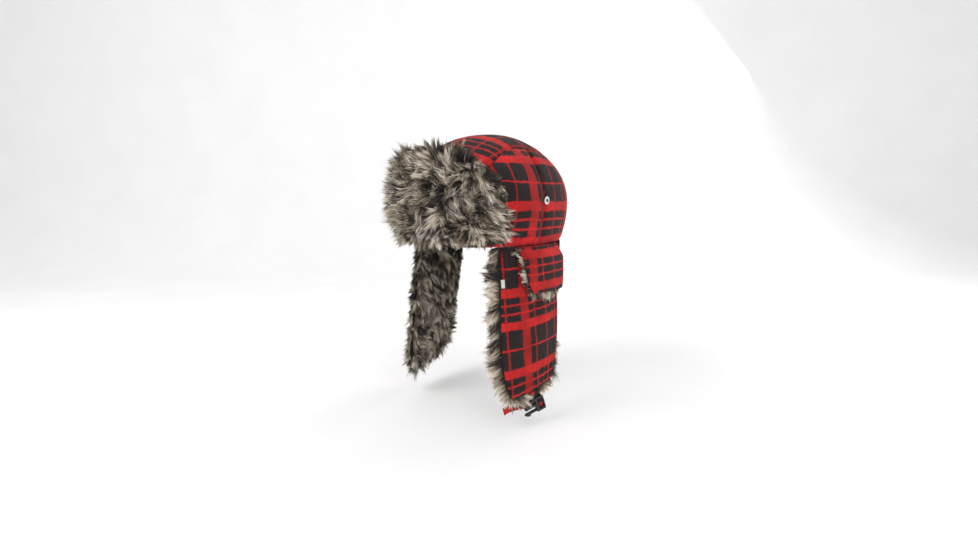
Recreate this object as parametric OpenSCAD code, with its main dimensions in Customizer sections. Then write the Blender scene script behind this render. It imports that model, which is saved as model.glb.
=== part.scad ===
// Trapper hat: plaid crown, turned up fur visor, lined ear flaps with small vent flaps, and a buckled chin strap.
// Origin: centre of the head opening, on the plane of the brim seam.
// +Z is up, the front of the hat faces -Y, and the wearer's left is +X. All sizes are in mm.

/* [Crown] */
// Half the outside width at the widest ring
crown_half_width = 98; // [90:1:106]
// Half the outside length at the widest ring
crown_half_length = 118; // [108:1:126]
// Height of the widest ring above the brim seam
waist_height = 50; // [40:1:60]
// Rise of the dome above the widest ring
dome_rise = 88; // [80:1:110]
// Size of the brim ring compared with the widest ring
brim_ratio = 0.93; // [0.88:0.01:1]
// Half the width of the centre strip
strip_half_width = 60; // [45:1:70]
// Gap left at each sewn seam
seam_gap = 0.4; // [0.2:0.1:1]
// Share of a side that its front panel covers
front_panel_share = 0.44; // [0.4:0.01:0.6]

/* [Cloth layers] */
// Thickness of the plaid cloth
cloth = 1.6; // [1:0.1:2.5]
// Thickness of the crown wadding
crown_wadding_thickness = 4; // [2:0.5:8]
// Thickness of the quilted crown lining
lining_thickness = 1; // [0.5:0.1:2]
// Thickness of the sweatband
sweatband_thickness = 1.5; // [1:0.1:3]
// Height of the sweatband
sweatband_height = 32; // [20:1:45]
// Air left between two layers of one body
layer_gap = 0.2; // [0.1:0.05:0.5]
// Air left between two crown layers that are divided into different facets
crown_layer_gap = 0.9; // [0.7:0.1:1.5]

/* [Visor] */
// Half the angle the visor covers, measured at the ring centre
visor_half_angle = 52; // [40:1:60]
// Height of the visor's lower edge above the brim seam
visor_bottom = 9; // [2:1:12]
// Height of the visor's top edge above the brim seam
visor_top = 109; // [90:1:120]
// Air between the crown and the middle of the visor
visor_standoff = 2.2; // [1.5:0.1:4]
// Extra air between the crown and each end of the visor
visor_end_standoff = 2.6; // [1:0.1:5]
// Thickness of the visor's stiff interlining
interlining_thickness = 2; // [1:0.5:4]
// Thickness of the visor's fur, pile included
visor_fur_thickness = 19; // [12:1:26]

/* [Ear flaps] */
// Front edge of an ear flap at the brim, along Y
flap_front = -65; // [-75:1:-50]
// Rear edge of an ear flap at the brim, along Y
flap_rear = 37; // [25:1:50]
// Length of an ear flap at its front corner
flap_length = 184; // [150:1:200]
// How much shorter an ear flap is at its rear corner
flap_rear_rise = 10; // [0:1:30]
// How far the hem stands out from the brim
flap_flare = 14; // [0:1:20]
// How far the hem is set forward of the brim
flap_lean = 15; // [0:1:20]
// Gap between the crown and an ear flap at the brim seam
flap_top_gap = 0.6; // [0.4:0.1:1.5]
// Thickness of the ear flap wadding
flap_wadding_thickness = 3; // [1:0.5:6]
// Thickness of the ear flap's fur lining, pile included
flap_fur_thickness = 13; // [8:1:20]
// Height of the ear port's centre below the brim
port_depth = 27; // [22:1:38]
// Diameter of the ear port
port_diameter = 30; // [20:1:36]

/* [Vent flaps] */
// Front edge of a vent flap at its top, along Y
vent_front = -46; // [-50:1:-30]
// Rear edge of a vent flap, along Y
vent_rear = 31; // [28:1:40]
// Length of a vent flap
vent_length = 57; // [50:1:75]
// Thickness of a vent flap's fur backing at its hem
vent_fur_thickness = 7.6; // [4:0.2:10]

/* [Nape band] */
// Height of the short band at the nape
nape_height = 15; // [8:1:40]
// Thickness of the nape band's fur facing
nape_fur_thickness = 8; // [4:1:12]

/* [Hardware] */
// Bore of an eyelet
eyelet_bore = 4; // [3:0.1:4]
// Outside diameter of an eyelet
eyelet_diameter = 10; // [8:0.5:12]
// Height of the eyelets above the brim seam
eyelet_height = 54; // [50:1:60]
// Place of the eyelets along Y
eyelet_y = -8; // [-12:1:0]
// Height of the visor snap above the brim seam
snap_height = 60; // [55:1:66]
// Diameter of the visor snap
snap_diameter = 10; // [8:0.5:12]
// Width of the chin strap tape
tape_width = 10; // [8:0.5:14]
// Thickness of the chin strap tape
tape_thickness = 1; // [0.8:0.1:1.6]
// Width of the buckle plug
plug_width = 19; // [17:0.5:24]
// Thickness of the buckle plug
plug_thickness = 6; // [5:0.2:8]
// Width of the buckle socket
socket_width = 23; // [21:0.5:28]
// Length of the buckle socket
socket_length = 25; // [22:1:32]
// Thickness of the buckle socket
socket_thickness = 8.4; // [7:0.2:10]

/* [Hidden] */
// Smoothness of the round hardware
$fn = 48;
// Brim ring half sizes
brim_x = crown_half_width * brim_ratio;
brim_y = crown_half_length * brim_ratio;
// Depths of the layers, measured inward from the outer face of the cloth
crown_wadding_out = -cloth - crown_layer_gap;
crown_wadding_in = crown_wadding_out - crown_wadding_thickness;
lining_out = crown_wadding_in - layer_gap;
lining_in = lining_out - lining_thickness;
sweatband_out = lining_in - crown_layer_gap;
sweatband_in = sweatband_out - sweatband_thickness;
mesh_thickness = 0.3;
mesh_out = -cloth - layer_gap;
mesh_in = mesh_out - mesh_thickness;
flap_wadding_out = mesh_in - layer_gap;
flap_wadding_in = flap_wadding_out - flap_wadding_thickness;
flap_fur_out = flap_wadding_in - layer_gap;
flap_fur_in = flap_fur_out - flap_fur_thickness;
// Visor layers, measured outward from the visor's rear face
interlining_back = cloth + layer_gap;
interlining_front = interlining_back + interlining_thickness;
visor_fur_back = interlining_front + layer_gap;
visor_fur_front = visor_fur_back + visor_fur_thickness;
visor_lean = 160;
visor_corner_drop = 30;
// Vent flap layers, measured outward from the ear flap's outer face
patch_out = 1;
vent_fur_back = 1.6;
vent_shell_rise = 2.4;
vent_lift_depth = 18;
vent_top_gap = 1.2;
// Share of the flare that the front of a flap gains as it leaves the head's curve
front_relax = 3.8;
vent_hem_taper = 9;
vent_fur_start = 5;
// Eyelet and snap details
eyelet_rise = 0.1;
barrel_wall = 0.6;
bore_clearance = 0.2;
washer_depth = 1.9 - lining_in;
washer_thickness = 0.5;
clinch_thickness = 0.5;
ball_radius = 1.9;
socket_bore_radius = 2.35;
snap_radius = snap_diameter / 2;
snap_base_depth = 3.6;
snap_base_thickness = 0.6;
snap_pocket_depth = 4.2;
snap_face = crown_half_length * sqrt(1 - pow((snap_height - waist_height) / dome_rise, 2));
// Chin strap and buckle places
strap_y = -36;
tab_length = 3.5;
hem_gap = 1.4;
plug_turn = [0, 18, 245];
plug_drop = [5.3, 6.8, -15.7];
plug_body_length = 12;
prong_length = 17;
prong_width = 3.4;
prong_thickness = 3.2;
socket_wall = 1.6;
socket_bar_radius = 1.1;
loop_inner_radius = 1.5;
tuck_standoff = 8.5;
tuck_height = 34;

// ---- surfaces ----

function mix(a, b, k) = a + (b - a) * k;
function unit(v) = v / norm(v);
function ease(k) = let (c = min(1, max(0, k))) c * c * (3 - 2 * c);

// Size of the crown's ring at a height, compared with the widest ring
function ring_scale(z, off) = z <= waist_height
    ? mix(brim_ratio, 1, sin(90 * max(0, z) / waist_height))
    : sqrt(max(0, 1 - pow((z - waist_height) / (dome_rise + off), 2)));
function ring_half(half, z, off) = z <= waist_height
    ? half * ring_scale(z, off) + off : (half + off) * ring_scale(z, off);
// A point on the crown at angle t from the front, height z, set out by off
function ring_point(t, z, off) =
    [ring_half(crown_half_width, z, off) * sin(t), -ring_half(crown_half_length, z, off) * cos(t), z];

// Height along a seam plane at distance x from the middle: straight below the waist, round above it
seam_rows = 4;
dome_rows = 7;
function plane_half(x, off) = sqrt(1 - pow(x / (crown_half_width + off), 2));
function seam_height(x, k, off) = k <= seam_rows
    ? waist_height * k / seam_rows
    : waist_height + (dome_rise + off) * plane_half(x, off) * sin(86 * (k - seam_rows) / dome_rows);

// Centre strip: u runs across it, k counts rows from the front brim over the top
function strip_y(x, k, off) = k <= seam_rows
    ? let (z = seam_height(x, k, off))
      -ring_half(crown_half_length, z, off)
      * sqrt(1 - pow(x / ring_half(crown_half_width, z, off), 2))
    : -(crown_half_length + off) * plane_half(x, off) * cos(86 * (k - seam_rows) / dome_rows);
strip_rows = 2 * (seam_rows + dome_rows) + 1;
strip_point = function(u, v, off)
    let (k = round(v * strip_rows),
         x = (strip_half_width - seam_gap / 2) * (2 * u - 1),
         rear = k > seam_rows + dome_rows,
         row = rear ? strip_rows - k : k,
         y = strip_y(abs(x), row, off))
    [x, rear ? -y : y, seam_height(abs(x), row, off)];

// Side panel: u runs from the front seam to the rear seam, v from the brim to the top
function side_point(u, v, off) =
    let (k = round(v * (seam_rows + dome_rows)),
         x = strip_half_width + seam_gap / 2,
         z = seam_height(x, k, off),
         t = asin(min(1, x / ring_half(crown_half_width, z, off))))
    ring_point(mix(t, 180 - t, u), z, off);
side_gap_share = seam_gap / 400;
front_side_point = function(u, v, off) side_point(mix(0, front_panel_share - side_gap_share, u), v, off);
rear_side_point = function(u, v, off) side_point(mix(front_panel_share + side_gap_share, 1, u), v, off);

// Visor: u runs from the right end to the left end, v from the lower edge to the top edge
function visor_scale(z) = z <= waist_height ? ring_scale(z, 0) : sqrt(1 - pow((z - waist_height) / visor_lean, 2));
visor_point = function(u, v, off)
    let (s = 2 * u - 1,
         t = visor_half_angle * s,
         z = mix(visor_bottom, visor_top - visor_corner_drop * pow(abs(s), 3), v),
         out = off + visor_standoff + visor_end_standoff * s * s)
    [(crown_half_width * visor_scale(z) + out) * sin(t), -(crown_half_length * visor_scale(z) + out) * cos(t), z];

// Ear flap on the left: u runs from the front edge to the rear edge, v from the hem to the brim
function flap_front_edge(d) = flap_front - flap_lean * d + 14 * pow(d, 8);
function flap_rear_edge(d) = flap_rear - flap_lean * d - 21 * pow(d, 6);
function flap_y(u, d) = mix(flap_front_edge(d), flap_rear_edge(d), u);
// A point that hangs from the brim at y. It stands out more as it goes down, most of all near the front.
function hang_point(y, z, off) =
    let (t = acos(-y / brim_y), stand = -flap_flare * z / flap_length)
    [(brim_x + off) * sin(t) + stand * (sin(t) + front_relax * (1 - sin(t))), -(brim_y + off) * cos(t), z];
function flap_z(u, d) = -flap_top_gap - d * (flap_length - flap_top_gap - flap_rear_rise * u);
flap_point = function(u, v, off)
    let (d = 1 - v) hang_point(flap_y(u, d), flap_z(u, d), off);
// The fur lining reaches past the shell at the front, the rear and the hem
flap_fur_point = function(u, v, off)
    let (d = mix(1 + 4 / flap_length, 0, v)) hang_point(flap_y(mix(-0.11, 1.03, u), d), flap_z(u, d), off);
// A small patch on the flap between two Y values and two depths
function patch_on_flap(y_from, y_to, z_from, z_to) = function(u, v, off)
    hang_point(mix(y_from, y_to, u), mix(z_from, z_to, v), off);

// Vent flap on the left: it starts close to the ear flap and stands out on its fur lower down
function vent_stand(z) = vent_fur_thickness * ease((-z - vent_top_gap) / vent_lift_depth);
function vent_y(u, d) = mix(vent_front + vent_hem_taper * d + 5 * pow(d, 6), vent_rear - 5 * d - 5 * pow(d, 6), u);
function vent_between(top, bottom, margin) = function(u, v, off)
    let (z = mix(-bottom, -top, v), d = -z / vent_length)
    hang_point(vent_y(mix(-margin, 1 + margin, u), d), z, off <= vent_fur_back ? off : off + vent_stand(z));

// Nape band: u runs round the back from left to right, v from its hem to the brim
nape_point = function(u, v, off)
    ring_point(mix(118, 242, u), 0, off) + [0, 0, mix(-nape_height, -flap_top_gap, v)];

// ---- solids made from surfaces ----

// A closed sheet between two offsets of one surface
module sheet(point, columns, rows, outer, inner) {
    w = columns + 1;
    n = w * (rows + 1);
    function at(i, j, side) = side * n + j * w + i;
    points = [for (off = [outer, inner], j = [0:rows], i = [0:columns]) point(i / columns, j / rows, off)];
    skin = [for (j = [0:rows - 1], i = [0:columns - 1], f = [
        [at(i, j, 0), at(i, j + 1, 0), at(i + 1, j + 1, 0)], [at(i, j, 0), at(i + 1, j + 1, 0), at(i + 1, j, 0)],
        [at(i, j, 1), at(i + 1, j + 1, 1), at(i, j + 1, 1)], [at(i, j, 1), at(i + 1, j, 1), at(i + 1, j + 1, 1)]]) f];
    low_high = [for (i = [0:columns - 1], f = [
        [at(i, 0, 0), at(i + 1, 0, 0), at(i + 1, 0, 1)], [at(i, 0, 0), at(i + 1, 0, 1), at(i, 0, 1)],
        [at(i, rows, 0), at(i + 1, rows, 1), at(i + 1, rows, 0)], [at(i, rows, 0), at(i, rows, 1), at(i + 1, rows, 1)]]) f];
    ends = [for (j = [0:rows - 1], f = [
        [at(0, j, 0), at(0, j + 1, 1), at(0, j + 1, 0)], [at(0, j, 0), at(0, j, 1), at(0, j + 1, 1)],
        [at(columns, j, 0), at(columns, j + 1, 0), at(columns, j + 1, 1)],
        [at(columns, j, 0), at(columns, j + 1, 1), at(columns, j, 1)]]) f];
    polyhedron(points, concat(skin, low_high, ends), convexity = 6);
}

// A closed dome shell that follows the crown between two offsets
module dome_shell(outer, inner, columns = 36) {
    rings = seam_rows + dome_rows;
    n = columns * rings + 1;
    function height(k, off) = k <= seam_rows ? mix(1, waist_height, k / seam_rows)
        : waist_height + (dome_rise + off) * sin(90 * (k - seam_rows) / dome_rows);
    function at(i, j, side) = side * n + j * columns + i % columns;
    function apex(side) = side * n + n - 1;
    points = [for (off = [outer, inner]) each concat(
        [for (k = [0:rings - 1], i = [0:columns - 1]) ring_point(360 * i / columns, height(k, off), off)],
        [[0, 0, waist_height + dome_rise + off]])];
    skin = [for (j = [0:rings - 2], i = [0:columns - 1], f = [
        [at(i, j, 0), at(i, j + 1, 0), at(i + 1, j + 1, 0)], [at(i, j, 0), at(i + 1, j + 1, 0), at(i + 1, j, 0)],
        [at(i, j, 1), at(i + 1, j + 1, 1), at(i, j + 1, 1)], [at(i, j, 1), at(i + 1, j, 1), at(i + 1, j + 1, 1)]]) f];
    caps = [for (i = [0:columns - 1], f = [
        [at(i, rings - 1, 0), apex(0), at(i + 1, rings - 1, 0)],
        [at(i, rings - 1, 1), at(i + 1, rings - 1, 1), apex(1)],
        [at(i, 0, 0), at(i + 1, 0, 0), at(i + 1, 0, 1)], [at(i, 0, 0), at(i + 1, 0, 1), at(i, 0, 1)]]) f];
    polyhedron(points, concat(skin, caps), convexity = 6);
}

// A tape that follows a list of [centre, direction of its width]
module tape(path, width, thickness) {
    last = len(path) - 1;
    function ahead(i) = unit(path[min(last, i + 1)][0] - path[max(0, i - 1)][0]);
    function across(i) = unit(path[i][1] - (path[i][1] * ahead(i)) * ahead(i));
    function corner(i, a, b) =
        path[i][0] + across(i) * (a * width / 2) + cross(ahead(i), across(i)) * (b * thickness / 2);
    points = [for (i = [0:last], c = [[-1, -1], [1, -1], [1, 1], [-1, 1]]) corner(i, c[0], c[1])];
    sides = [for (i = [0:last - 1], k = [0:3], f = let (a = 4 * i + k, b = 4 * i + (k + 1) % 4)
        [[a, a + 4, b + 4], [a, b + 4, b]]) f];
    e = 4 * last;
    polyhedron(points, concat(sides, [[0, 1, 2], [0, 2, 3], [e, e + 2, e + 1], [e, e + 3, e + 2]]), convexity = 6);
}

module both_sides() {
    children();
    mirror([1, 0, 0]) children();
}

module right_side() mirror([1, 0, 0]) children();

// ---- crown ----

// Hole through the side of the crown for an eyelet barrel
module eyelet_hole() {
    both_sides() translate([crown_half_width - 12, eyelet_y, eyelet_height]) rotate([0, 90, 0])
        cylinder(r = eyelet_bore / 2 + barrel_wall + bore_clearance, h = 24);
}

// A cylinder along the snap's axis, from one distance outside the crown to another
module snap_cylinder(r, from, to) {
    translate([0, -snap_face - from, snap_height]) rotate([90, 0, 0]) cylinder(r = r, h = to - from);
}

module crown_center_panel() color("#b8302a") difference() {
    sheet(strip_point, 10, strip_rows, 0, -cloth);
    snap_cylinder(1.5 + bore_clearance, -6, 6);
}

module front_side_panel() difference() {
    sheet(front_side_point, 8, seam_rows + dome_rows, 0, -cloth);
    eyelet_hole();
}

module rear_side_panel() difference() {
    sheet(rear_side_point, 8, seam_rows + dome_rows, 0, -cloth);
    eyelet_hole();
}

module left_front_side_panel() color("#c23a32") front_side_panel();
module left_rear_side_panel() color("#b8302a") rear_side_panel();
module right_front_side_panel() color("#c23a32") right_side() front_side_panel();
module right_rear_side_panel() color("#b8302a") right_side() rear_side_panel();

module crown_wadding() color("#e6e2d8") difference() {
    dome_shell(crown_wadding_out, crown_wadding_in);
    eyelet_hole();
    snap_cylinder(snap_radius, -snap_pocket_depth, 0);
}

module crown_lining() color("#2b2b2e") difference() {
    dome_shell(lining_out, lining_in);
    eyelet_hole();
}

// The sweatband's two ends meet at the middle of the back
sweatband_point = function(u, v, off) ring_point(mix(183, 537, u), mix(2, 2 + sweatband_height, v), off);
module sweatband() color("#1d1d20") sheet(sweatband_point, 44, 3, sweatband_out, sweatband_in);

module nape_band() color("#b8302a") sheet(nape_point, 14, 2, 0, -cloth);
module nape_band_fur() color("#8d857a") sheet(nape_point, 14, 2, -cloth - layer_gap, -cloth - nape_fur_thickness);

// ---- eyelets and visor snap ----

module eyelet() {
    bore = eyelet_bore / 2;
    barrel = bore + barrel_wall;
    deep = -washer_depth - washer_thickness - bore_clearance;
    translate([crown_half_width, eyelet_y, eyelet_height]) rotate([0, 90, 0]) rotate_extrude() polygon([
        [bore, deep - clinch_thickness], [barrel + 0.9, deep - clinch_thickness], [barrel + 0.9, deep],
        [barrel, deep], [barrel, eyelet_rise], [eyelet_diameter / 2, eyelet_rise],
        [eyelet_diameter / 2 - 0.3, 0.6], [eyelet_diameter / 2 - 1.6, 1], [bore, 0.7]]);
}

module eyelets() color("#d9dadc") both_sides() eyelet();

module eyelet_washers() color("#c4c5c8") both_sides()
    translate([crown_half_width - washer_depth - washer_thickness, eyelet_y, eyelet_height]) rotate([0, 90, 0])
        difference() {
            cylinder(d = eyelet_diameter, h = washer_thickness);
            translate([0, 0, -1]) cylinder(r = eyelet_bore / 2 + barrel_wall + bore_clearance, h = 3);
        }

module snap_stud() color("#7d7f83") union() {
    snap_cylinder(4, -snap_base_depth, snap_base_thickness - snap_base_depth);
    snap_cylinder(1.5, -snap_base_depth, 2);
    snap_cylinder(snap_radius, 0.6, 1.1);
    snap_cylinder(ball_radius, 1.1, 2.5);
}

module snap_socket() color("#6f7175") difference() {
    snap_cylinder(snap_radius, 1.5, 3.8);
    snap_cylinder(socket_bore_radius, 1, 2.9);
}

// ---- visor ----

module visor_sheet(back, front, columns = 16, rows = 6) sheet(visor_point, columns, rows, front, back);

module visor_backing() color("#b8302a") difference() {
    visor_sheet(0, cloth);
    snap_cylinder(snap_radius + bore_clearance, 0, 8);
}

module visor_interlining() color("#d8d2c4") visor_sheet(interlining_back, interlining_front);
module visor_fur() color("#8d857a") visor_sheet(visor_fur_back, visor_fur_front, 18, 8);

// ---- ear flaps, left side first and mirrored for the right ----

module port_hole() translate([brim_x / 2, 0, -port_depth]) rotate([0, 90, 0]) cylinder(d = port_diameter, h = brim_x);

module flap_shell() difference() {
    sheet(flap_point, 10, 14, 0, -cloth);
    port_hole();
}

module flap_wadding() difference() {
    sheet(flap_point, 10, 14, flap_wadding_out, flap_wadding_in);
    port_hole();
}

module flap_fur() sheet(flap_fur_point, 10, 14, flap_fur_out, flap_fur_in);

mesh_half = port_diameter / 2 + 3;
module port_mesh() sheet(patch_on_flap(-mesh_half, mesh_half, -port_depth - mesh_half, -port_depth + mesh_half),
    4, 4, mesh_out, mesh_in);

patch_half_width = 10;
patch_low = -53;
patch_high = -44;
module hook_patch() sheet(patch_on_flap(-patch_half_width, patch_half_width, patch_low, patch_high),
    3, 1, patch_out, layer_gap);

module left_flap_shell() color("#c23a32") flap_shell();
module left_flap_wadding() color("#e6e2d8") flap_wadding();
module left_flap_fur() color("#8d857a") flap_fur();
module left_port_mesh() color("#3a3a3d") port_mesh();
module left_hook_patch() color("#202022") hook_patch();
module right_flap_shell() color("#c23a32") right_side() flap_shell();
module right_flap_wadding() color("#e6e2d8") right_side() flap_wadding();
module right_flap_fur() color("#8d857a") right_side() flap_fur();
module right_port_mesh() color("#3a3a3d") right_side() port_mesh();
module right_hook_patch() color("#202022") right_side() hook_patch();

// Blank tag sewn into the front seam of the left ear flap
module side_label() color("#f0f0ee") sheet(patch_on_flap(flap_front - 4, flap_front + 3, -48, -38),
    2, 1, layer_gap + 0.6, layer_gap);

// ---- vent flaps ----

module vent_shell() sheet(vent_between(vent_top_gap, vent_length, 0), 8, 8,
    vent_fur_back + vent_shell_rise, vent_fur_back + vent_shell_rise - cloth);

module vent_fur() difference() {
    sheet(vent_between(vent_fur_start, vent_length + 4, 0.04), 8, 8, vent_fur_back + layer_gap / 4, vent_fur_back);
    sheet(patch_on_flap(-patch_half_width - 0.4, patch_half_width + 0.4, patch_low - 0.4, patch_high + 0.4),
        4, 1, vent_fur_back + 1.3, vent_fur_back - 1);
}

module loop_patch() sheet(patch_on_flap(-patch_half_width, patch_half_width, patch_low, patch_high),
    4, 1, vent_fur_back + 1.1, vent_fur_back + 0.1);

module left_vent_shell() color("#c23a32") vent_shell();
module left_vent_fur() color("#8d857a") vent_fur();
module left_loop_patch() color("#2a2a2c") loop_patch();
module right_vent_shell() color("#c23a32") right_side() vent_shell();
module right_vent_fur() color("#8d857a") right_side() vent_fur();
module right_loop_patch() color("#2a2a2c") right_side() loop_patch();

// ---- left chin strap and buckle plug ----

strap_share = (strap_y - flap_front_edge(1)) / (flap_rear_edge(1) - flap_front_edge(1));
hem_point = hang_point(strap_y, flap_z(strap_share, 1), -cloth / 2);

module left_strap_tab() color("#b8302a") tape([for (k = [0:2])
    [hem_point + [-0.3 * k, 0, -hem_gap - tab_length * k / 2], [0, 1, 0]]], tape_width, tape_thickness);

module at_plug() translate(hem_point + plug_drop) rotate(plug_turn) children();

bar_from = -1.9;
bar_to = 0.1;
slot_length = 3;
slot_height = tape_width + 3;

module slot(from) translate([from, -plug_thickness, -slot_height / 2]) cube([slot_length, 2 * plug_thickness, slot_height]);

// Plan of the plug's frame, along its length and across its width
module plug_plan() {
    round_corner = 2;
    half = plug_body_length / 2;
    translate([-half + round_corner, -plug_width / 2]) square([plug_body_length - round_corner, plug_width]);
    translate([-half, -plug_width / 2 + round_corner]) square([plug_body_length, plug_width - 2 * round_corner]);
    for (side = [-1, 1]) translate([-half + round_corner, side * (plug_width / 2 - round_corner)]) circle(round_corner);
}

module buckle_plug() color("#141416") at_plug() union() {
    difference() {
        rotate([90, 0, 0]) translate([0, 0, -plug_thickness / 2]) linear_extrude(plug_thickness) plug_plan();
        slot(bar_from - slot_length);
        slot(bar_to);
        for (side = [-1, 1]) translate([bar_from - 0.1, side * plug_thickness / 2 - 1.8, -slot_height / 2])
            cube([bar_to - bar_from + 0.2, 3.6, slot_height]);
    }
    translate([bar_from, -1.2, -slot_height / 2 - 0.1]) cube([bar_to - bar_from, 2.4, slot_height + 0.2]);
    translate([plug_body_length / 2, -1.5, -1.8]) cube([14, 3, 3.6]);
    translate([plug_body_length / 2 + 14, 0, 0]) rotate([90, 0, 0]) cylinder(r = 1.8, h = 3, center = true);
}

// One spring prong, pointing along the plug, with its catch on the outer side
module prong() {
    root = plug_body_length / 2 + 0.4;
    centre = plug_width / 2 - prong_width / 2 - 0.4;
    tip = root + prong_length;
    rotate([90, 0, 0]) translate([0, 0, -prong_thickness / 2]) linear_extrude(prong_thickness) polygon([
        [root, centre - prong_width / 2], [tip - 1.5, centre - prong_width / 2], [tip, centre - prong_width / 2 + 1.2],
        [tip, centre], [tip - 2, centre + prong_width / 2], [tip - 6, centre + prong_width / 2 + 1.4],
        [tip - 7, centre + prong_width / 2 + 1.4], [tip - 7, centre + prong_width / 2 - 0.8],
        [root + 2, centre + prong_width / 2 - 0.8], [root, centre + prong_width / 2]]);
}

module plug_prong_upper() color("#19191b") at_plug() prong();
module plug_prong_lower() color("#19191b") at_plug() mirror([0, 0, 1]) prong();

// The tape comes down behind the plug, turns towards its end and wraps the bar. Its free end runs forward
// between the plug and the first layer of tape, and then behind the prongs.
turn_radius = 5.5;
turn_x = -1.5;
tape_back = -6;
module left_strap_tail() color("#b8302a") at_plug() tape(concat(
    [[[turn_x + turn_radius, tape_back, 11], [1, 0, 0]], [[turn_x + turn_radius, tape_back, 8], [1, 0, 0]]],
    [for (a = [0:15:90]) [[turn_x + turn_radius * cos(a), tape_back, turn_radius * (1 - sin(a))],
        [cos(a), 0, -sin(a)]]],
    [for (p = [[-3, -5.2, 0], [-3.5, -3.4, 0], [-3.5, -1.4, 0], [-3.3, 0.9, 0], [-2.2, 2.1, 0], [0.4, 2.1, 0],
        [1.5, 0.9, 0], [1.7, -1.4, 0], [2, -3.2, 0], [3.2, -4.4, 0], [5.5, -4.6, 0.3], [10, -4.7, 1],
        [17, -4.8, 3.2], [26, -4.8, 6.2], [35, -4.4, 9], [42, -3.4, 10.4], [48, -2, 10.6]]) [p, [0, 0, -1]]]),
    tape_width, tape_thickness);

// ---- right chin strap and buckle socket ----

// The strap stands beside the right ear flap, tucked up, and ends in a loop round the socket's bar
bar_place = [hem_point[0] + tuck_standoff, hem_point[1], hem_point[2] + tuck_height];
loop_radius = loop_inner_radius + tape_thickness / 2;
module right_strap() color("#b8302a") right_side() tape(concat(
    [[hem_point + [cloth / 2 + 1.3, 0, 0.4], [0, 1, 0]], [hem_point + [cloth / 2 + 2, 0, 2.5], [0, 1, 0]],
     [hem_point + [cloth / 2 + 3.2, 0, 9], [0, 1, 0]]],
    [[bar_place + [-loop_radius, 0, -6], [0, 1, 0]]],
    [for (a = [180:-30:-60]) [bar_place + loop_radius * [cos(a), 0, sin(a)], [0, 1, 0]]]), tape_width, tape_thickness);

// Plan of the socket's case, across its width and along its length
module socket_plan() {
    r = 3;
    translate([-socket_width / 2, 0]) square([socket_width, socket_length - r]);
    translate([-socket_width / 2 + r, 0]) square([socket_width - 2 * r, socket_length]);
    for (side = [-1, 1]) translate([side * (socket_width / 2 - r), socket_length - r]) circle(r);
}

module buckle_socket() color("#141416") right_side() translate(bar_place) union() {
    case_start = loop_radius + 2.2;
    rotate([90, 0, 0]) cylinder(r = socket_bar_radius, h = tape_width + 4, center = true);
    for (side = [-1, 1]) translate([-socket_bar_radius, side * (tape_width / 2 + 3) - 1.5, -socket_bar_radius])
        cube([2 * socket_bar_radius, 3, case_start + socket_bar_radius + 0.5]);
    translate([0, 0, case_start]) difference() {
        rotate([90, 0, 90]) translate([0, 0, -socket_thickness / 2]) linear_extrude(socket_thickness) socket_plan();
        // Mouth for the prongs, open at the far end
        translate([-socket_thickness / 2 + socket_wall, -socket_width / 2 + socket_wall, 5])
            cube([socket_thickness - 2 * socket_wall, socket_width - 2 * socket_wall, socket_length]);
        // Side windows where the catches are pressed
        translate([-socket_thickness / 2 + socket_wall, -socket_width, 9])
            cube([socket_thickness - 2 * socket_wall, 2 * socket_width, 8]);
    }
}

crown_center_panel();
left_front_side_panel();
left_rear_side_panel();
right_front_side_panel();
right_rear_side_panel();
crown_wadding();
crown_lining();
sweatband();
nape_band();
nape_band_fur();
eyelets();
eyelet_washers();
snap_stud();
visor_backing();
visor_interlining();
visor_fur();
snap_socket();
left_flap_shell();
left_flap_wadding();
left_flap_fur();
left_port_mesh();
left_hook_patch();
side_label();
left_vent_shell();
left_vent_fur();
left_loop_patch();
left_strap_tab();
left_strap_tail();
buckle_plug();
plug_prong_upper();
plug_prong_lower();
right_flap_shell();
right_flap_wadding();
right_flap_fur();
right_port_mesh();
right_hook_patch();
right_vent_shell();
right_vent_fur();
right_loop_patch();
right_strap();
buckle_socket();
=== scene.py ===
"""Looks for the trapper hat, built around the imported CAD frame.

Lengths are worked out in millimetres and stored in metres. Cloth and fur are surfaces given by formulas,
u across and v up, with seams, puffs and wrinkles added. No cloth is simulated.
"""

import math

import bpy
import numpy as np
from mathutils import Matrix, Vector
from mathutils.kdtree import KDTree


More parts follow.
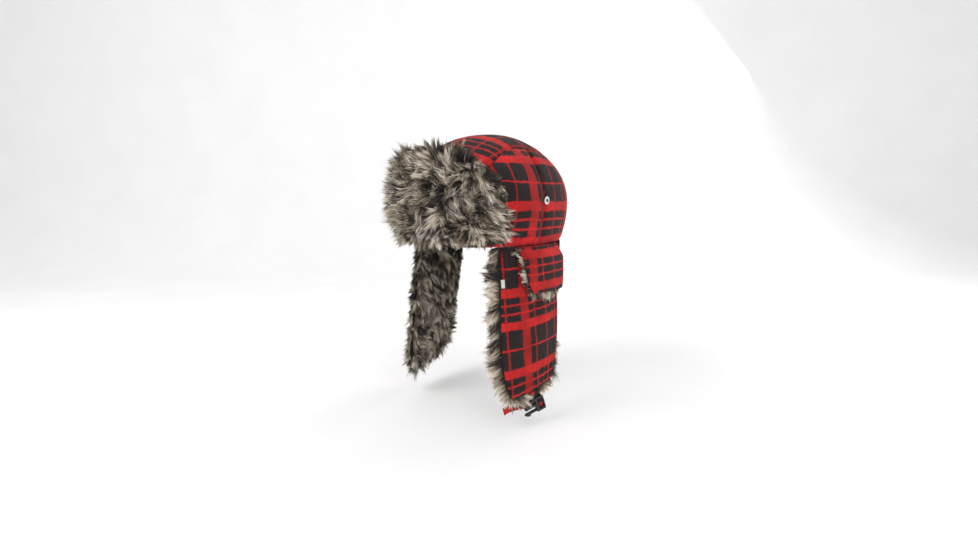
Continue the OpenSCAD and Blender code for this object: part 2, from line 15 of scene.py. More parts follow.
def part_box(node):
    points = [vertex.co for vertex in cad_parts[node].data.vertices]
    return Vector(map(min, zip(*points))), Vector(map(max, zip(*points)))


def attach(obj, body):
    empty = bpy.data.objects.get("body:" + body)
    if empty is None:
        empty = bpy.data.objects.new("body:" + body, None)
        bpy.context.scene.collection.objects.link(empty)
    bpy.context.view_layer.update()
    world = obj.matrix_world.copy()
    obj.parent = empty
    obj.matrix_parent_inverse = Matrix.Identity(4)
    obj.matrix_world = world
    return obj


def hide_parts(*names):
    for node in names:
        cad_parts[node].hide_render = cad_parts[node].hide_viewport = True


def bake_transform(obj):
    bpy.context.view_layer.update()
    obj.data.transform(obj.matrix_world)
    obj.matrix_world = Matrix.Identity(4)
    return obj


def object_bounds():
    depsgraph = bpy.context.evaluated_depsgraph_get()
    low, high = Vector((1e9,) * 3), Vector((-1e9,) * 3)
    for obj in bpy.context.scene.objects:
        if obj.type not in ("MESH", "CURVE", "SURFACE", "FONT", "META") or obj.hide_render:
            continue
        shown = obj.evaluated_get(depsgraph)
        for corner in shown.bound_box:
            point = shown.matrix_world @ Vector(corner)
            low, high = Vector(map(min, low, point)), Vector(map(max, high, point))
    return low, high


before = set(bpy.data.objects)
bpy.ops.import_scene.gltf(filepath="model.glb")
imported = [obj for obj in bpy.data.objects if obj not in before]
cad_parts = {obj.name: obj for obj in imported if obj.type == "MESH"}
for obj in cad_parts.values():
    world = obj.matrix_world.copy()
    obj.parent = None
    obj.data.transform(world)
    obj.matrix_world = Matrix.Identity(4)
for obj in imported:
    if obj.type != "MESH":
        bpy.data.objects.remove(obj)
CAD_BOX = [list(map(float, c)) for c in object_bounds()]
MM = 0.001


def box_mm(node):
    lo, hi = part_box(node)
    return np.array(lo) / MM, np.array(hi) / MM


# ---------------------------------------------------------------- sizes (mm)
STRIP_HI = box_mm("crown_center_panel")[1]
CX, CY = box_mm("left_front_side_panel")[1][0], STRIP_HI[1]   # half width and half length at the widest ring
SEAM = STRIP_HI[0]                        # the strip's edge, where it meets the side panels
WAIST, BRIM = 50.0, 0.93                  # height of the widest ring, and the brim's size as a share of it
RISE = round(STRIP_HI[2] - WAIST, 0)
BX, BY = CX * BRIM, CY * BRIM
W_TOP = WAIST + RISE * np.pi / 2          # the way from the brim up to the top, along the cloth
ARC = WAIST + RISE * 0.92                 # a side panel's height along the cloth
PANELS = (("front", 0.0, 0.439), ("rear", 0.441, 1.0))
CLOTH = 1.5                               # thickness of the plaid cloth
FLAP_LEN, VENT_LEN = 184.0, 57.0
FLARE = 14.0                              # how far a flap's hem stands out from the brim
RELAX = 3.8                               # how much more the front of a flap stands out
VENT_LIFT = 7.6                           # how far a vent flap's lower part stands off its ear flap
VISOR_LOW, VISOR_TOP, VISOR_CORNER = 9, 109, 30
VISOR_FLAT = 215                          # the visor's width along the cloth, for its plaid
PORT_Z, PORT_RADIUS = -27, 15
PATCH = (-10, 10, -53, -44)               # Y and Z limits of the hook and loop patches
CROWN_SEAM_INSET, FLAP_SEAM_INSET = 3.4, 6.0
FLIP = np.array([-1.0, 1, 1])             # turns a left side point into a right side one


# ---------------------------------------------------------------- surfaces (mm, arrays in, (n, 3) out)
def ring_scale(z, off=0.0):
    z = np.asarray(z, float)
    low = BRIM + (1 - BRIM) * np.sin(np.pi / 2 * np.clip(z, 0, WAIST) / WAIST)
    high = np.sqrt(np.clip(1 - ((z - WAIST) / (RISE + off)) ** 2, 0, 1))
    return np.where(z <= WAIST, low, high)


def half(size, z, off):
    s = ring_scale(z, off)
    return np.where(np.asarray(z) <= WAIST, size * s + off, (size + off) * s)


def ring(t, z, off):
    return np.stack([half(CX, z, off) * np.sin(t), -half(CY, z, off) * np.cos(t), z + 0 * t], -1)


def strip_surface(u, v, off):
    x = SEAM * (2 * u - 1)
    k = np.sqrt(1 - (x / (CX + off)) ** 2)
    w = W_TOP * (1 - np.abs(2 * v - 1))
    phi = np.clip((w - WAIST) / RISE, 0, np.pi / 2)
    low = w <= WAIST
    w_low = np.minimum(w, WAIST)
    y_low = half(CY, w_low, off) * np.sqrt(np.clip(1 - (x / half(CX, w_low, off)) ** 2, 0, 1))
    y = np.where(low, y_low, (CY + off) * k * np.cos(phi))
    z = np.where(low, w, WAIST + (RISE + off) * k * np.sin(phi))
    return np.stack([x, np.where(v < 0.5, -y, y), z], -1)


def side_surface(u, v, off, a=0.0, b=1.0):
    """u runs from the front seam to the rear seam between shares a and b, v up from the brim."""
    top = np.arcsin(np.sqrt(1 - (SEAM / CX) ** 2)) * 0.985
    w = v * (WAIST + RISE * top)
    z = np.where(w <= WAIST, w, WAIST + (RISE + off) * np.sin((w - WAIST) / RISE))
    t0 = np.arcsin(np.clip((SEAM + 0.3) / half(CX, z, off), -1, 1))
    t = t0 + (np.pi - 2 * t0) * (a + (b - a) * u)
    return ring(t, z, off)


def side_uv(u, v, a, b):
    p = side_surface(u, v, 0 * u, a, b)
    t = np.arctan2(p[..., 0] / CX, -p[..., 1] / CY)
    z = p[..., 2]
    w = np.where(z <= WAIST, z, WAIST + RISE * np.arcsin(np.clip((z - WAIST) / RISE, -1, 1)))
    return (t - np.pi / 2) * 108 * ring_scale(z), w


def hang(y, z, off):
    """A point of the cloth that hangs from the left brim, y along the brim and z below it."""
    t = np.arccos(np.clip(-y / BY, -1, 1))
    stand = -FLARE * z / FLAP_LEN
    x = (BX + off) * np.sin(t) + stand * (np.sin(t) + RELAX * (1 - np.sin(t)))
    return np.stack([x, -(BY + off) * np.cos(t), z + 0 * y], -1)


def flap_edges(d):
    """Front and rear edge along Y, at depth share d."""
    return -65 - 15 * d + 14 * d**8, 37 - 15 * d - 21 * d**6


def flap_z(u, d):
    return -0.6 - d * (FLAP_LEN - 0.6 - 10 * u)


def flap_surface(u, v, off):
    d = 1 - v
    f, r = flap_edges(d)
    return hang(f + (r - f) * u, flap_z(u, d), off)


def fur_flap_surface(u, v, off):
    d = (1 + 4 / FLAP_LEN) * (1 - v)
    f, r = flap_edges(d)
    uu = -0.055 + 1.065 * u
    return hang(f + (r - f) * uu, flap_z(u, d), off)


def pelt_flap_surface(u, v, off):
    d = 1.005 * (1 - v)
    f, r = flap_edges(d)
    uu = -0.035 + 1.04 * u
    return hang(f + (r - f) * uu, flap_z(u, d), off)


def ease(k):
    c = np.clip(k, 0, 1)
    return c * c * (3 - 2 * c)


def vent_edges(d):
    return -46 + 9 * d + 5 * d**6, 31 - 5 * d - 5 * d**6


def vent_surface(u, v, off):
    z = -VENT_LEN + (VENT_LEN - 1.2) * v
    f, r = vent_edges(-z / VENT_LEN)
    lift = VENT_LIFT * ease((-z - 1.2) / 18)
    return hang(f + (r - f) * u, z, off + lift)


def visor_surface(u, v, off):
    s = 2 * u - 1
    t = np.radians(52) * s
    z = VISOR_LOW + (VISOR_TOP - VISOR_CORNER * np.abs(s) ** 3 - VISOR_LOW) * v
    scale = np.where(z <= WAIST, ring_scale(z), np.sqrt(np.clip(1 - ((z - WAIST) / 160) ** 2, 0, 1)))
    out = off + 2.2 + 2.6 * s * s
    return np.stack([(CX * scale + out) * np.sin(t), -(CY * scale + out) * np.cos(t), z + 0 * t], -1)


def nape_surface(u, v, off):
    t = np.radians(118 + 124 * u)
    return ring(t, 0 * t, off) + np.stack([0 * t, 0 * t, -15 + 14.4 * v], -1)


def mirrored(surface):
    """The same surface on the right side. u is turned round too, so that faces keep pointing outward."""
    def other(u, v, off):
        return surface(1 - u, v, off) * FLIP
    return other


def sided(side, surface):
    """The surface itself on the left, and its mirror image, with u as it was, on the right."""
    return surface if side == "left" else (lambda u, v, off: surface(u, v, off) * FLIP)


def noise(p, size, seed):
    """Smooth noise from -1 to 1 for points p, with features about size mm across."""
    r = np.random.default_rng(seed)
    total = 0.0
    for _ in range(9):
        d = r.normal(size=3)
        d *= r.uniform(0.6, 1.5) / np.linalg.norm(d)
        total = total + np.sin(p @ d * (2 * np.pi / (1.6 * size)) + r.uniform(0, 2 * np.pi))
    return np.clip(total / 4.0, -1, 1)


# ---------------------------------------------------------------- meshes
def make(name, verts, faces, uv=None, smooth=True, uv_name="cloth"):
    """A mesh object from mm vertices. faces is a list of index arrays or lists."""
    me = bpy.data.meshes.new(name)
    me.from_pydata((np.asarray(verts) * MM).tolist(), [], faces)
    if uv is not None:
        layer = me.uv_layers.new(name=uv_name)
        index = np.empty(len(me.loops), np.int32)
        me.loops.foreach_get("vertex_index", index)
        layer.data.foreach_set("uv", np.asarray(uv, np.float32)[index].ravel())
    if smooth:
        me.polygons.foreach_set("use_smooth", [True] * len(me.polygons))
    me.update()
    obj = bpy.data.objects.new(name, me)
    bpy.context.scene.collection.objects.link(obj)
    return obj


def grid(nu, nv):
    u, v = np.meshgrid(np.linspace(0, 1, nu + 1), np.linspace(0, 1, nv + 1))
    return u.ravel(), v.ravel()


def shell(name, surface, nu, nv, outer, inner, uvs, bumps=None, rounded=1.2):
    """A closed sheet of cloth between two offsets, thinning into rounded edges."""
    u, v = grid(nu, nv)
    lift = bumps(u, v) if bumps else 0 * u
    mid = surface(u, v, 0 * u)
    w = nu + 1
    m = mid.reshape(nv + 1, w, 3)
    along = np.linalg.norm(np.diff(m, axis=1), axis=2)
    edge_u = np.concatenate([np.zeros((nv + 1, 1)), np.cumsum(along, 1)], 1)
    edge_u = np.minimum(edge_u, edge_u[:, -1:] - edge_u)
    up = np.linalg.norm(np.diff(m, axis=0), axis=2)
    edge_v = np.concatenate([np.zeros((1, w)), np.cumsum(up, 0)], 0)
    edge_v = np.minimum(edge_v, edge_v[-1:, :] - edge_v)
    near = np.clip(np.minimum(edge_u, edge_v).ravel() / rounded, 0, 1)
    thin = 0.35 + 0.65 * np.sqrt(1 - (1 - near) ** 2)
    centre, thick = (outer + inner) / 2, (outer - inner) / 2
    a = surface(u, v, centre + lift + thick * thin)
    b = surface(u, v, centre + lift - thick * thin)
    n = len(u)
    faces = []
    for j in range(nv):
        for i in range(nu):
            q = (j * w + i, j * w + i + 1, (j + 1) * w + i + 1, (j + 1) * w + i)
            faces.append(q)
            faces.append(tuple(n + k for k in reversed(q)))
    rim = [i for i in range(w)] + [j * w + nu for j in range(1, nv + 1)]
    rim += [nv * w + i for i in range(nu - 1, -1, -1)] + [j * w for j in range(nv - 1, 0, -1)]
    for k, a0 in enumerate(rim):
        b0 = rim[(k + 1) % len(rim)]
        faces.append((a0, n + a0, n + b0, b0))
    uu, vv = uvs(u, v)
    uv = np.stack([uu, vv], -1) * MM
    obj = make(name, np.concatenate([a, b]), faces, np.concatenate([uv, uv]))
    obj["area_mm2"] = area_of(m)
    obj["flat_w"] = float(along.sum(1).max())
    obj["flat_l"] = float(up.sum(0).max())
    return obj


def area_of(m):
    a = np.cross(m[1:, 1:] - m[:-1, :-1], m[:-1, 1:] - m[1:, :-1]) / 2
    return float(np.linalg.norm(a, axis=2).sum())


# ---------------------------------------------------------------- materials
class Nodes:
    def __init__(self, name, roughness=0.9):
        self.mat = bpy.data.materials.new(name)
        self.mat.use_nodes = True
        self.t = self.mat.node_tree
        self.bsdf = self.t.nodes["Principled BSDF"]
        self.bsdf.inputs["Roughness"].default_value = roughness

    def add(self, kind, **values):
        n = self.t.nodes.new(kind)
        for k, v in values.items():
            if k.startswith("_"):
                setattr(n, k[1:], v)
            else:
                key = int(k[1:]) if k[0] == "i" and k[1:].isdigit() else k.replace("_", " ")
                if isinstance(v, bpy.types.NodeSocket):
                    self.t.links.new(v, n.inputs[key])
                else:
                    n.inputs[key].default_value = v
        return n

    def math(self, op, a, b=0.0, c=0.0):
        return self.add("ShaderNodeMath", _operation=op, i0=a, i1=b, i2=c).outputs[0]

    def mix(self, k, a, b, blend="MIX"):
        n = self.t.nodes.new("ShaderNodeMix")
        n.data_type, n.blend_type = "RGBA", blend
        for i, v in ((0, k), (6, a), (7, b)):
            if isinstance(v, bpy.types.NodeSocket):
                self.t.links.new(v, n.inputs[i])
            else:
                n.inputs[i].default_value = v
        return n.outputs[2]

    def ramp(self, value, stops):
        n = self.t.nodes.new("ShaderNodeValToRGB")
        r = n.color_ramp
        while len(r.elements) < len(stops):
            r.elements.new(0.5)
        for e, (p, c) in zip(r.elements, sorted(stops, key=lambda s: s[0])):
            e.position = p
            e.color = (c, c, c, 1) if not hasattr(c, "__len__") else (*c[:3], 1)
        self.t.links.new(value, n.inputs[0])
        return n.outputs[0]

    def noise(self, scale, detail=3.0, rough=0.6, vector=None):
        n = self.add("ShaderNodeTexNoise", Scale=scale, Detail=detail, Roughness=rough)
        if vector is not None:
            self.t.links.new(vector, n.inputs["Vector"])
        return n.outputs[0]

    def place(self):
        return self.add("ShaderNodeTexCoord").outputs["Object"]

    def color(self, socket):
        self.t.links.new(socket, self.bsdf.inputs["Base Color"])

    def bump(self, height, strength, distance, below=None):
        n = self.add("ShaderNodeBump", Height=height, Strength=strength, Distance=distance)
        if below is not None:
            self.t.links.new(below, n.inputs["Normal"])
        self.t.links.new(n.outputs[0], self.bsdf.inputs["Normal"])
        return n.outputs[0]


RED = (0.50, 0.014, 0.014)
DEEP_RED = (0.34, 0.011, 0.011)
BLACK = (0.012, 0.0115, 0.012)
# stripes of the plaid as width and whether it is red, from the front seam back and from the brim up
ROWS = [(10.5, 1), (8.5, 0), (2.4, 1), (8.5, 0), (2.4, 1), (8.5, 0), (11, 1), (22, 0), (2.2, 1), (24, 0)]
COLUMNS = [(11.5, 1), (8, 0), (2, 1), (20, 0), (2, 1), (20, 0), (2, 1), (8, 0), (11.5, 1), (18, 0),
           (2, 1), (18, 0)]


def plaid(name, shift_u, shift_v, scale=1.0, dim=1.0):
    """Brushed checked cloth. The cloth's UV map is in metres, along the weft and the warp."""
    m = Nodes(name, 0.92)
    uv = m.add("ShaderNodeUVMap", _uv_map="cloth").outputs[0]
    wobble = m.add("ShaderNodeTexNoise", Vector=uv, Scale=260.0, Detail=2.0, Roughness=0.6).outputs[1]
    drift = m.add("ShaderNodeTexNoise", Vector=uv, Scale=18.0, Detail=1.0, Roughness=0.5).outputs[1]
    off = m.add("ShaderNodeVectorMath", _operation="SUBTRACT", i0=wobble, i1=(0.5, 0.5, 0.5)).outputs[0]
    off2 = m.add("ShaderNodeVectorMath", _operation="SUBTRACT", i0=drift, i1=(0.5, 0.5, 0.5)).outputs[0]
    o = m.add("ShaderNodeVectorMath", _operation="SCALE", i0=off, Scale=0.0042).outputs[0]
    o2 = m.add("ShaderNodeVectorMath", _operation="SCALE", i0=off2, Scale=0.007).outputs[0]
    p = m.add("ShaderNodeVectorMath", _operation="ADD", i0=uv, i1=o).outputs[0]
    p = m.add("ShaderNodeVectorMath", _operation="ADD", i0=p, i1=o2).outputs[0]
    xyz = m.add("ShaderNodeSeparateXYZ", Vector=p)
    masks = []
    for axis, sett, shift in ((0, COLUMNS, shift_u), (1, ROWS, shift_v)):
        period = sum(size for size, _ in sett) * scale
        soft = 0.5 * scale / period
        k = m.math("MULTIPLY_ADD", xyz.outputs[axis], 1 / (period * MM), -shift / period)
        k = m.math("FRACT", k)
        stops, at = [(0.0, 1.0)], 0.0
        for size, red in sett:
            if at:
                stops += [(at - soft, 1.0 - red), (at + soft, float(red))]
            at += size * scale / period
        stops += [(1.0 - soft, 0.0), (1.0, 1.0)]
        masks.append(m.ramp(k, stops))
    either = m.math("MAXIMUM", masks[0], masks[1])
    both = m.math("MULTIPLY", masks[0], masks[1])
    red = m.mix(both, (*[c * dim for c in DEEP_RED], 1), (*[c * dim for c in RED], 1))
    red = m.mix(masks[1], red, (*[c * dim for c in RED], 1))
    cloth = m.mix(either, (*BLACK, 1), red)
    # melange of the two yarns, worn and brushed
    yarn = m.noise(900.0, 3.0, 0.7, uv)
    patch = m.noise(34.0, 3.0, 0.55, uv)
    shade = m.math("ADD", m.math("MULTIPLY", yarn, 0.55), m.math("MULTIPLY", patch, 0.5))
    light = m.ramp(shade, [(0.32, 0.36), (0.53, 0.95), (0.74, 1.75)])
    cloth = m.mix(1.0, cloth, light, "MULTIPLY")
    stray = m.ramp(m.noise(520.0, 3.0, 0.75, uv), [(0.52, 0.0), (0.72, 1.0)])
    cloth = m.mix(m.math("MULTIPLY", stray, 0.42), cloth, (0.15, 0.008, 0.008, 1))
    fuzz = m.ramp(m.noise(1500.0, 2.0, 0.7, uv), [(0.52, 0.0), (0.8, 1.0)])
    cloth = m.mix(m.math("MULTIPLY", fuzz, 0.12), cloth, (0.36, 0.18, 0.16, 1))
    m.color(cloth)
    # twill: diagonal ridges with broken yarns
    diag = m.math("ADD", xyz.outputs[0], xyz.outputs[1])
    ridge = m.math("SINE", m.math("MULTIPLY", diag, 2 * math.pi / 0.0016))
    other = m.math("SUBTRACT", xyz.outputs[0], xyz.outputs[1])
    cross = m.math("SINE", m.math("MULTIPLY", other, 2 * math.pi / 0.0011))
    height = m.math("ADD", m.math("MULTIPLY", ridge, 0.5), m.math("MULTIPLY", cross, 0.25))
    height = m.math("ADD", height, m.math("MULTIPLY", yarn, 1.6))
    first = m.bump(height, 0.5, 0.0006)
    m.bump(m.noise(60.0, 4.0, 0.6, uv), 0.25, 0.002, first)
    m.bsdf.inputs["Sheen Weight"].default_value = 0.05
    m.bsdf.inputs["Sheen Roughness"].default_value = 0.6
    m.bsdf.inputs["Specular IOR Level"].default_value = 0.15
    return m.mat


def pile(name, tones):
    """Fur strands. The strand map runs across the tones and up each strand from its root to its tip."""
    m = Nodes(name, 0.62)
    uv = m.add("ShaderNodeUVMap", _uv_map="OFBake").outputs[0]
    xyz = m.add("ShaderNodeSeparateXYZ", Vector=uv)
    columns = []
    for k in range(3):
        stops = [(0.0, tones[k][0]), (0.35, tones[k][1]), (0.72, tones[k][2]), (1.0, tones[k][3])]
        columns.append(m.ramp(xyz.outputs[1], stops))
    low = m.ramp(xyz.outputs[0], [(0.0, 0.0), (0.5, 1.0)])
    high = m.ramp(xyz.outputs[0], [(0.5, 0.0), (1.0, 1.0)])
    c = m.mix(low, columns[0], columns[1])
    c = m.mix(high, c, columns[2])
    m.color(c)
    m.bsdf.inputs["Specular IOR Level"].default_value = 0.3
    m.bsdf.inputs["Sheen Weight"].default_value = 0.15
    return m.mat


# dark, middle and light strands, each from its root to its tip
FUR_TONES = [
    [(0.003, 0.003, 0.004), (0.006, 0.006, 0.007), (0.012, 0.011, 0.011), (0.04, 0.037, 0.034)],
    [(0.005, 0.005, 0.005), (0.075, 0.054, 0.036), (0.27, 0.20, 0.135), (0.66, 0.56, 0.42)],
    [(0.010, 0.009, 0.008), (0.28, 0.22, 0.155), (0.80, 0.72, 0.59), (1.0, 0.97, 0.90)]]


def undercoat(name):
    m = Nodes(name, 1.0)
    p = m.place()
    n = m.noise(90.0, 4.0, 0.65, p)
    f = m.noise(900.0, 3.0, 0.7, p)
    c = m.ramp(m.math("ADD", m.math("MULTIPLY", n, 0.6), m.math("MULTIPLY", f, 0.4)),
               [(0.35, (0.010, 0.009, 0.008)), (0.55, (0.035, 0.030, 0.025)), (0.75, (0.10, 0.085, 0.068))])
    m.color(c)
    m.bump(f, 0.8, 0.002)
    m.bsdf.inputs["Specular IOR Level"].default_value = 0.1
    return m.mat


def plain_cloth(name, color, weave=0.0009, rough=0.8, sheen=0.1):
    m = Nodes(name, rough)
    p = m.place()
    xyz = m.add("ShaderNodeSeparateXYZ", Vector=p)
    a = m.math("SINE", m.math("MULTIPLY", m.math("ADD", xyz.outputs[0], xyz.outputs[1]), 2 * math.pi / weave))
    b = m.math("SINE", m.math("MULTIPLY", xyz.outputs[2], 2 * math.pi / weave))
    w = m.math("MULTIPLY", a, b)
    n = m.noise(120.0, 4.0, 0.6, p)
    light = [min(1, c * 1.35 + 0.004) for c in color]
    shade = m.ramp(m.math("ADD", m.math("MULTIPLY", w, 0.12), n),
                   [(0.3, [c * 0.65 for c in color]), (0.55, color), (0.8, light)])
    m.color(shade)
    m.bump(w, 0.35, 0.0004)
    m.bsdf.inputs["Sheen Weight"].default_value = sheen
    m.bsdf.inputs["Specular IOR Level"].default_value = 0.25
    return m.mat


def moulded(name, color):
    m = Nodes(name, 0.42)
    p = m.place()
    n = m.noise(420.0, 4.0, 0.65, p)
    c = m.ramp(n, [(0.3, [x * 0.7 for x in color]), (0.6, color), (0.85, [x * 1.8 + 0.004 for x in color])])
    m.color(c)
    m.t.links.new(m.ramp(m.noise(260.0, 3.0, 0.6, p), [(0.3, 0.34), (0.75, 0.58)]), m.bsdf.inputs["Roughness"])
    m.bump(m.noise(1500.0, 2.0, 0.6, p), 0.18, 0.0004)
    return m.mat


def metal(name, color, rough=0.25):
    m = Nodes(name, rough)
    m.bsdf.inputs["Metallic"].default_value = 1.0
    p = m.place()
    n = m.noise(700.0, 4.0, 0.65, p)
    c = m.ramp(n, [(0.3, [x * 0.8 for x in color]), (0.6, color), (0.85, [min(1, x * 1.08) for x in color])])
    m.color(c)
    worn = m.ramp(m.noise(300.0, 3.0, 0.6, p), [(0.3, rough * 0.7), (0.75, rough * 1.5)])
    m.t.links.new(worn, m.bsdf.inputs["Roughness"])
    m.bump(m.noise(1800.0, 2.0, 0.6, p), 0.1, 0.0002)
    return m.mat


M_SIDE = plaid("plaid_side", -31.0, 0.3)
M_STRIP = plaid("plaid_strip", -8.0, 12.0)
M_FLAP = plaid("plaid_flap", -47.0, -100.0)
M_VENT = plaid("plaid_vent", -40.0, -56.0)
M_VISOR_BACK = plaid("plaid_visor_back", -6.0, 10.0)
M_TAPE = plaid("plaid_tape", 4.0, 2.0, 0.55)
M_PILE = pile("fur_pile", FUR_TONES)
M_COAT = undercoat("fur_undercoat")
M_LINING = plain_cloth("quilted_satin", (0.020, 0.020, 0.022), 0.0006, 0.5, 0.3)
M_BAND = plain_cloth("sweatband_twill", (0.014, 0.014, 0.016), 0.0010, 0.85)
M_THREAD = plain_cloth("thread", (0.10, 0.008, 0.008), 0.0005, 0.7)
M_TAG = plain_cloth("blank_tag", (0.62, 0.62, 0.60), 0.0007, 0.7)
M_MESH = plain_cloth("port_mesh_yarn", (0.016, 0.016, 0.018), 0.0006, 0.6)
M_HOOK = plain_cloth("hook_tape", (0.010, 0.010, 0.011), 0.0012, 0.6)
M_PLASTIC = moulded("moulded_black", (0.010, 0.010, 0.011))
M_NICKEL = metal("satin_nickel", (0.82, 0.82, 0.84), 0.22)
M_SNAP = metal("snap_steel", (0.42, 0.42, 0.44), 0.3)


def paint(obj, mat):
    obj.data.materials.clear()
    obj.data.materials.append(mat)
    return obj


def dress(obj, mat, body, slot, *nodes, **bend):
    """Paints a piece, fixes it to its body and hides the CAD nodes it stands for.

    With bend, body names the pair of bodies that the piece joins, but it is not used: the piece's place is baked
    into its mesh instead, and the bend's values are not used either.
    """
    paint(obj, mat)
    if bend:
        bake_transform(obj)
    else:
        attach(obj, body)
    if nodes:
        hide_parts(*nodes)


# ---------------------------------------------------------------- camera, light and floor
def studio():
    az, el, far, seen = math.radians(40), math.radians(9.5), 0.66, 1.358   # seen: width in view at the hat
    aim = Vector((0, 0, -0.049))
    cam = bpy.data.objects.new("camera", bpy.data.cameras.new("camera"))
    bpy.context.scene.collection.objects.link(cam)
    cam.location = aim + far * Vector((math.sin(az) * math.cos(el), -math.cos(az) * math.cos(el), math.sin(el)))
    cam.rotation_euler = (aim - cam.location).to_track_quat("-Z", "Y").to_euler()
    cam.data.sensor_width = 36
    cam.data.lens = 36 * far / seen
    cam.data.clip_start = 0.01
    bpy.context.scene.camera = cam
    world = bpy.data.worlds.new("studio")
    bpy.context.scene.world = world
    world.use_nodes = True
    world.node_tree.nodes["Background"].inputs[0].default_value = (1, 1, 1, 1)
    world.node_tree.nodes["Background"].inputs[1].default_value = 0.75

    def area(name, place, size, power):
        lamp = bpy.data.lights.new(name, "AREA")
        lamp.size, lamp.energy = size, power
        obj = bpy.data.objects.new(name, lamp)
        bpy.context.scene.collection.objects.link(obj)
        obj.location = place
        obj.rotation_euler = (Vector((0, 0, 0)) - Vector(place)).to_track_quat("-Z", "Y").to_euler()
    area("key", (-0.55, -1.35, 1.1), 0.9, 13)
    area("fill", (1.5, -0.7, 0.35), 1.1, 9)
    area("rim", (0.3, 1.5, 1.0), 1.0, 8)
    # one sweep of paper: floor, curve and wall
    n, r, reach, start, wall = 14, 0.6, 3.2, 0.9, 3.4
    low = CAD_BOX[0][2] - 0.012
    angle = math.radians(40)
    back = np.array([-math.sin(angle), math.cos(angle)])
    side = np.array([back[1], -back[0]])
    profile = [(-reach, low), (start, low)]
    for a in np.linspace(0, math.pi / 2, n)[1:]:
        profile.append((start + r * math.sin(a), low + r * (1 - math.cos(a))))
    profile.append((start + r, low + wall))
    verts, faces = [], []
    for s in (-9.0, 9.0):
        for d, z in profile:
            xy = back * d + side * s
            verts.append((xy[0] / MM, xy[1] / MM, z / MM))
    k = len(profile)
    for i in range(k - 1):
        faces.append((i, i + k, i + k + 1, i + 1))
    sweep = make("paper_sweep", verts, faces)
    m = Nodes("paper", 0.95)
    m.color(m.ramp(m.noise(6.0, 3.0, 0.5, m.place()), [(0.3, 0.90), (0.7, 0.93)]))
    paint(sweep, m.mat)


studio()
scene = bpy.context.scene
scene.view_settings.view_transform = "Standard"
scene.view_settings.look = "None"

# ---------------------------------------------------------------- crown
def softness(edge_u, edge_v, seed, puff=0.9, dip=1.9, reach=3.8, wave=0.7):
    """Bumps for one sewn panel: it dips into its seams, puffs between them and puckers beside them."""
    def bumps(u, v):
        du = np.minimum(u, 1 - u) * edge_u
        dv = np.minimum(v, 1 - v) * edge_v
        near = np.minimum(du, dv)
        p = np.stack([u * edge_u, v * edge_v, 0 * u], -1)
        lift = puff * (1 - np.exp(-near / 22)) - dip * np.exp(-(near / reach) ** 2)
        pucker = noise(p, 7, seed) * 0.45 * np.exp(-((near - 5) / 6) ** 2)
        return lift + pucker + wave * noise(p, 38, seed + 1) + 0.12 * noise(p, 9, seed + 2)
    return bumps


def strip_uv(u, v):
    w = W_TOP * (1 - np.abs(2 * v - 1))
    return SEAM * (2 * u - 1), np.where(v < 0.5, w, 2 * W_TOP - w)


strip_soft = softness(2 * SEAM, 2 * W_TOP, 11)
strip = shell("crown_strip_cloth", strip_surface, 44, 150, 0.0, -CLOTH, strip_uv, strip_soft)
dress(strip, M_STRIP, "crown", "plaid_cloth", "crown_center_panel")


def panel_shape(a, b):
    """The surface and the cloth map of the left side between shares a and b."""
    def surface(u, v, off):
        return side_surface(u, v, off, a, b)

    def uvs(u, v):
        return side_uv(u, v, a, b)
    return surface, uvs


def from_far_end(function):
    """The same function of u and v, with u turned round."""
    return lambda u, v: function(1 - u, v)


def panel_softness(side, part):
    return softness(110, ARC, 20 + len(part) + len(side))


for side in ("left", "right"):
    for part, a, b in PANELS:
        surf, uvs = panel_shape(a, b)
        bumps = panel_softness(side, part)
        if side == "right":
            surf, uvs, bumps = mirrored(surf), from_far_end(uvs), from_far_end(bumps)
        panel = shell(f"{side}_{part}_side_cloth", surf, 40, 56, 0.0, -CLOTH, uvs, bumps)
        dress(panel, M_SIDE, "crown", "plaid_cloth", f"{side}_{part}_side_panel")


def dome_surface(u, v, off):
    """The whole crown from its rim to the top. u runs all the way round from the back."""
    t = np.pi + 2 * np.pi * u
    w = v * W_TOP * 0.9995
    z = 1.0 + np.where(w <= WAIST, w, WAIST + (RISE + off) * np.sin((w - WAIST) / RISE)) * (1 - 1 / WAIST / 4)
    return ring(t, z, off)


def tube_shell(name, surface, nu, nv, outer, inner, bumps, cap=False):
    """A closed shell that runs all the way round, with both faces and its rims. cap closes the top to a point."""
    u, v = np.meshgrid(np.arange(nu) / nu, np.linspace(0, 1, nv + 1))
    u, v = u.ravel(), v.ravel()
    lift_a, lift_b = bumps(u, v)
    rim = np.minimum(v, 1.0 if cap else 1 - v) * nv
    thin = 0.4 + 0.6 * np.clip(rim / 1.5, 0, 1)
    c, h = (outer + inner) / 2, (outer - inner) / 2
    a = surface(u, v, c + h * thin + lift_a)
    b = surface(u, v, c - h * thin + lift_b)
    n = len(u)
    faces = []
    at = lambda i, j: j * nu + i % nu
    for j in range(nv):
        for i in range(nu):
            q = (at(i, j), at(i + 1, j), at(i + 1, j + 1), at(i, j + 1))
            faces.append(q)
            faces.append(tuple(n + k for k in reversed(q)))
    rows = [0] if cap else [0, nv]
    for j in rows:
        for i in range(nu):
            q = (at(i, j), n + at(i, j), n + at(i + 1, j), at(i + 1, j))
            faces.append(q if j == 0 else tuple(reversed(q)))
    if cap:
        faces.append(tuple(at(i, nv) for i in range(nu)))
        faces.append(tuple(n + at(i, nv) for i in reversed(range(nu))))
    return make(name, np.concatenate([a, b]), faces)


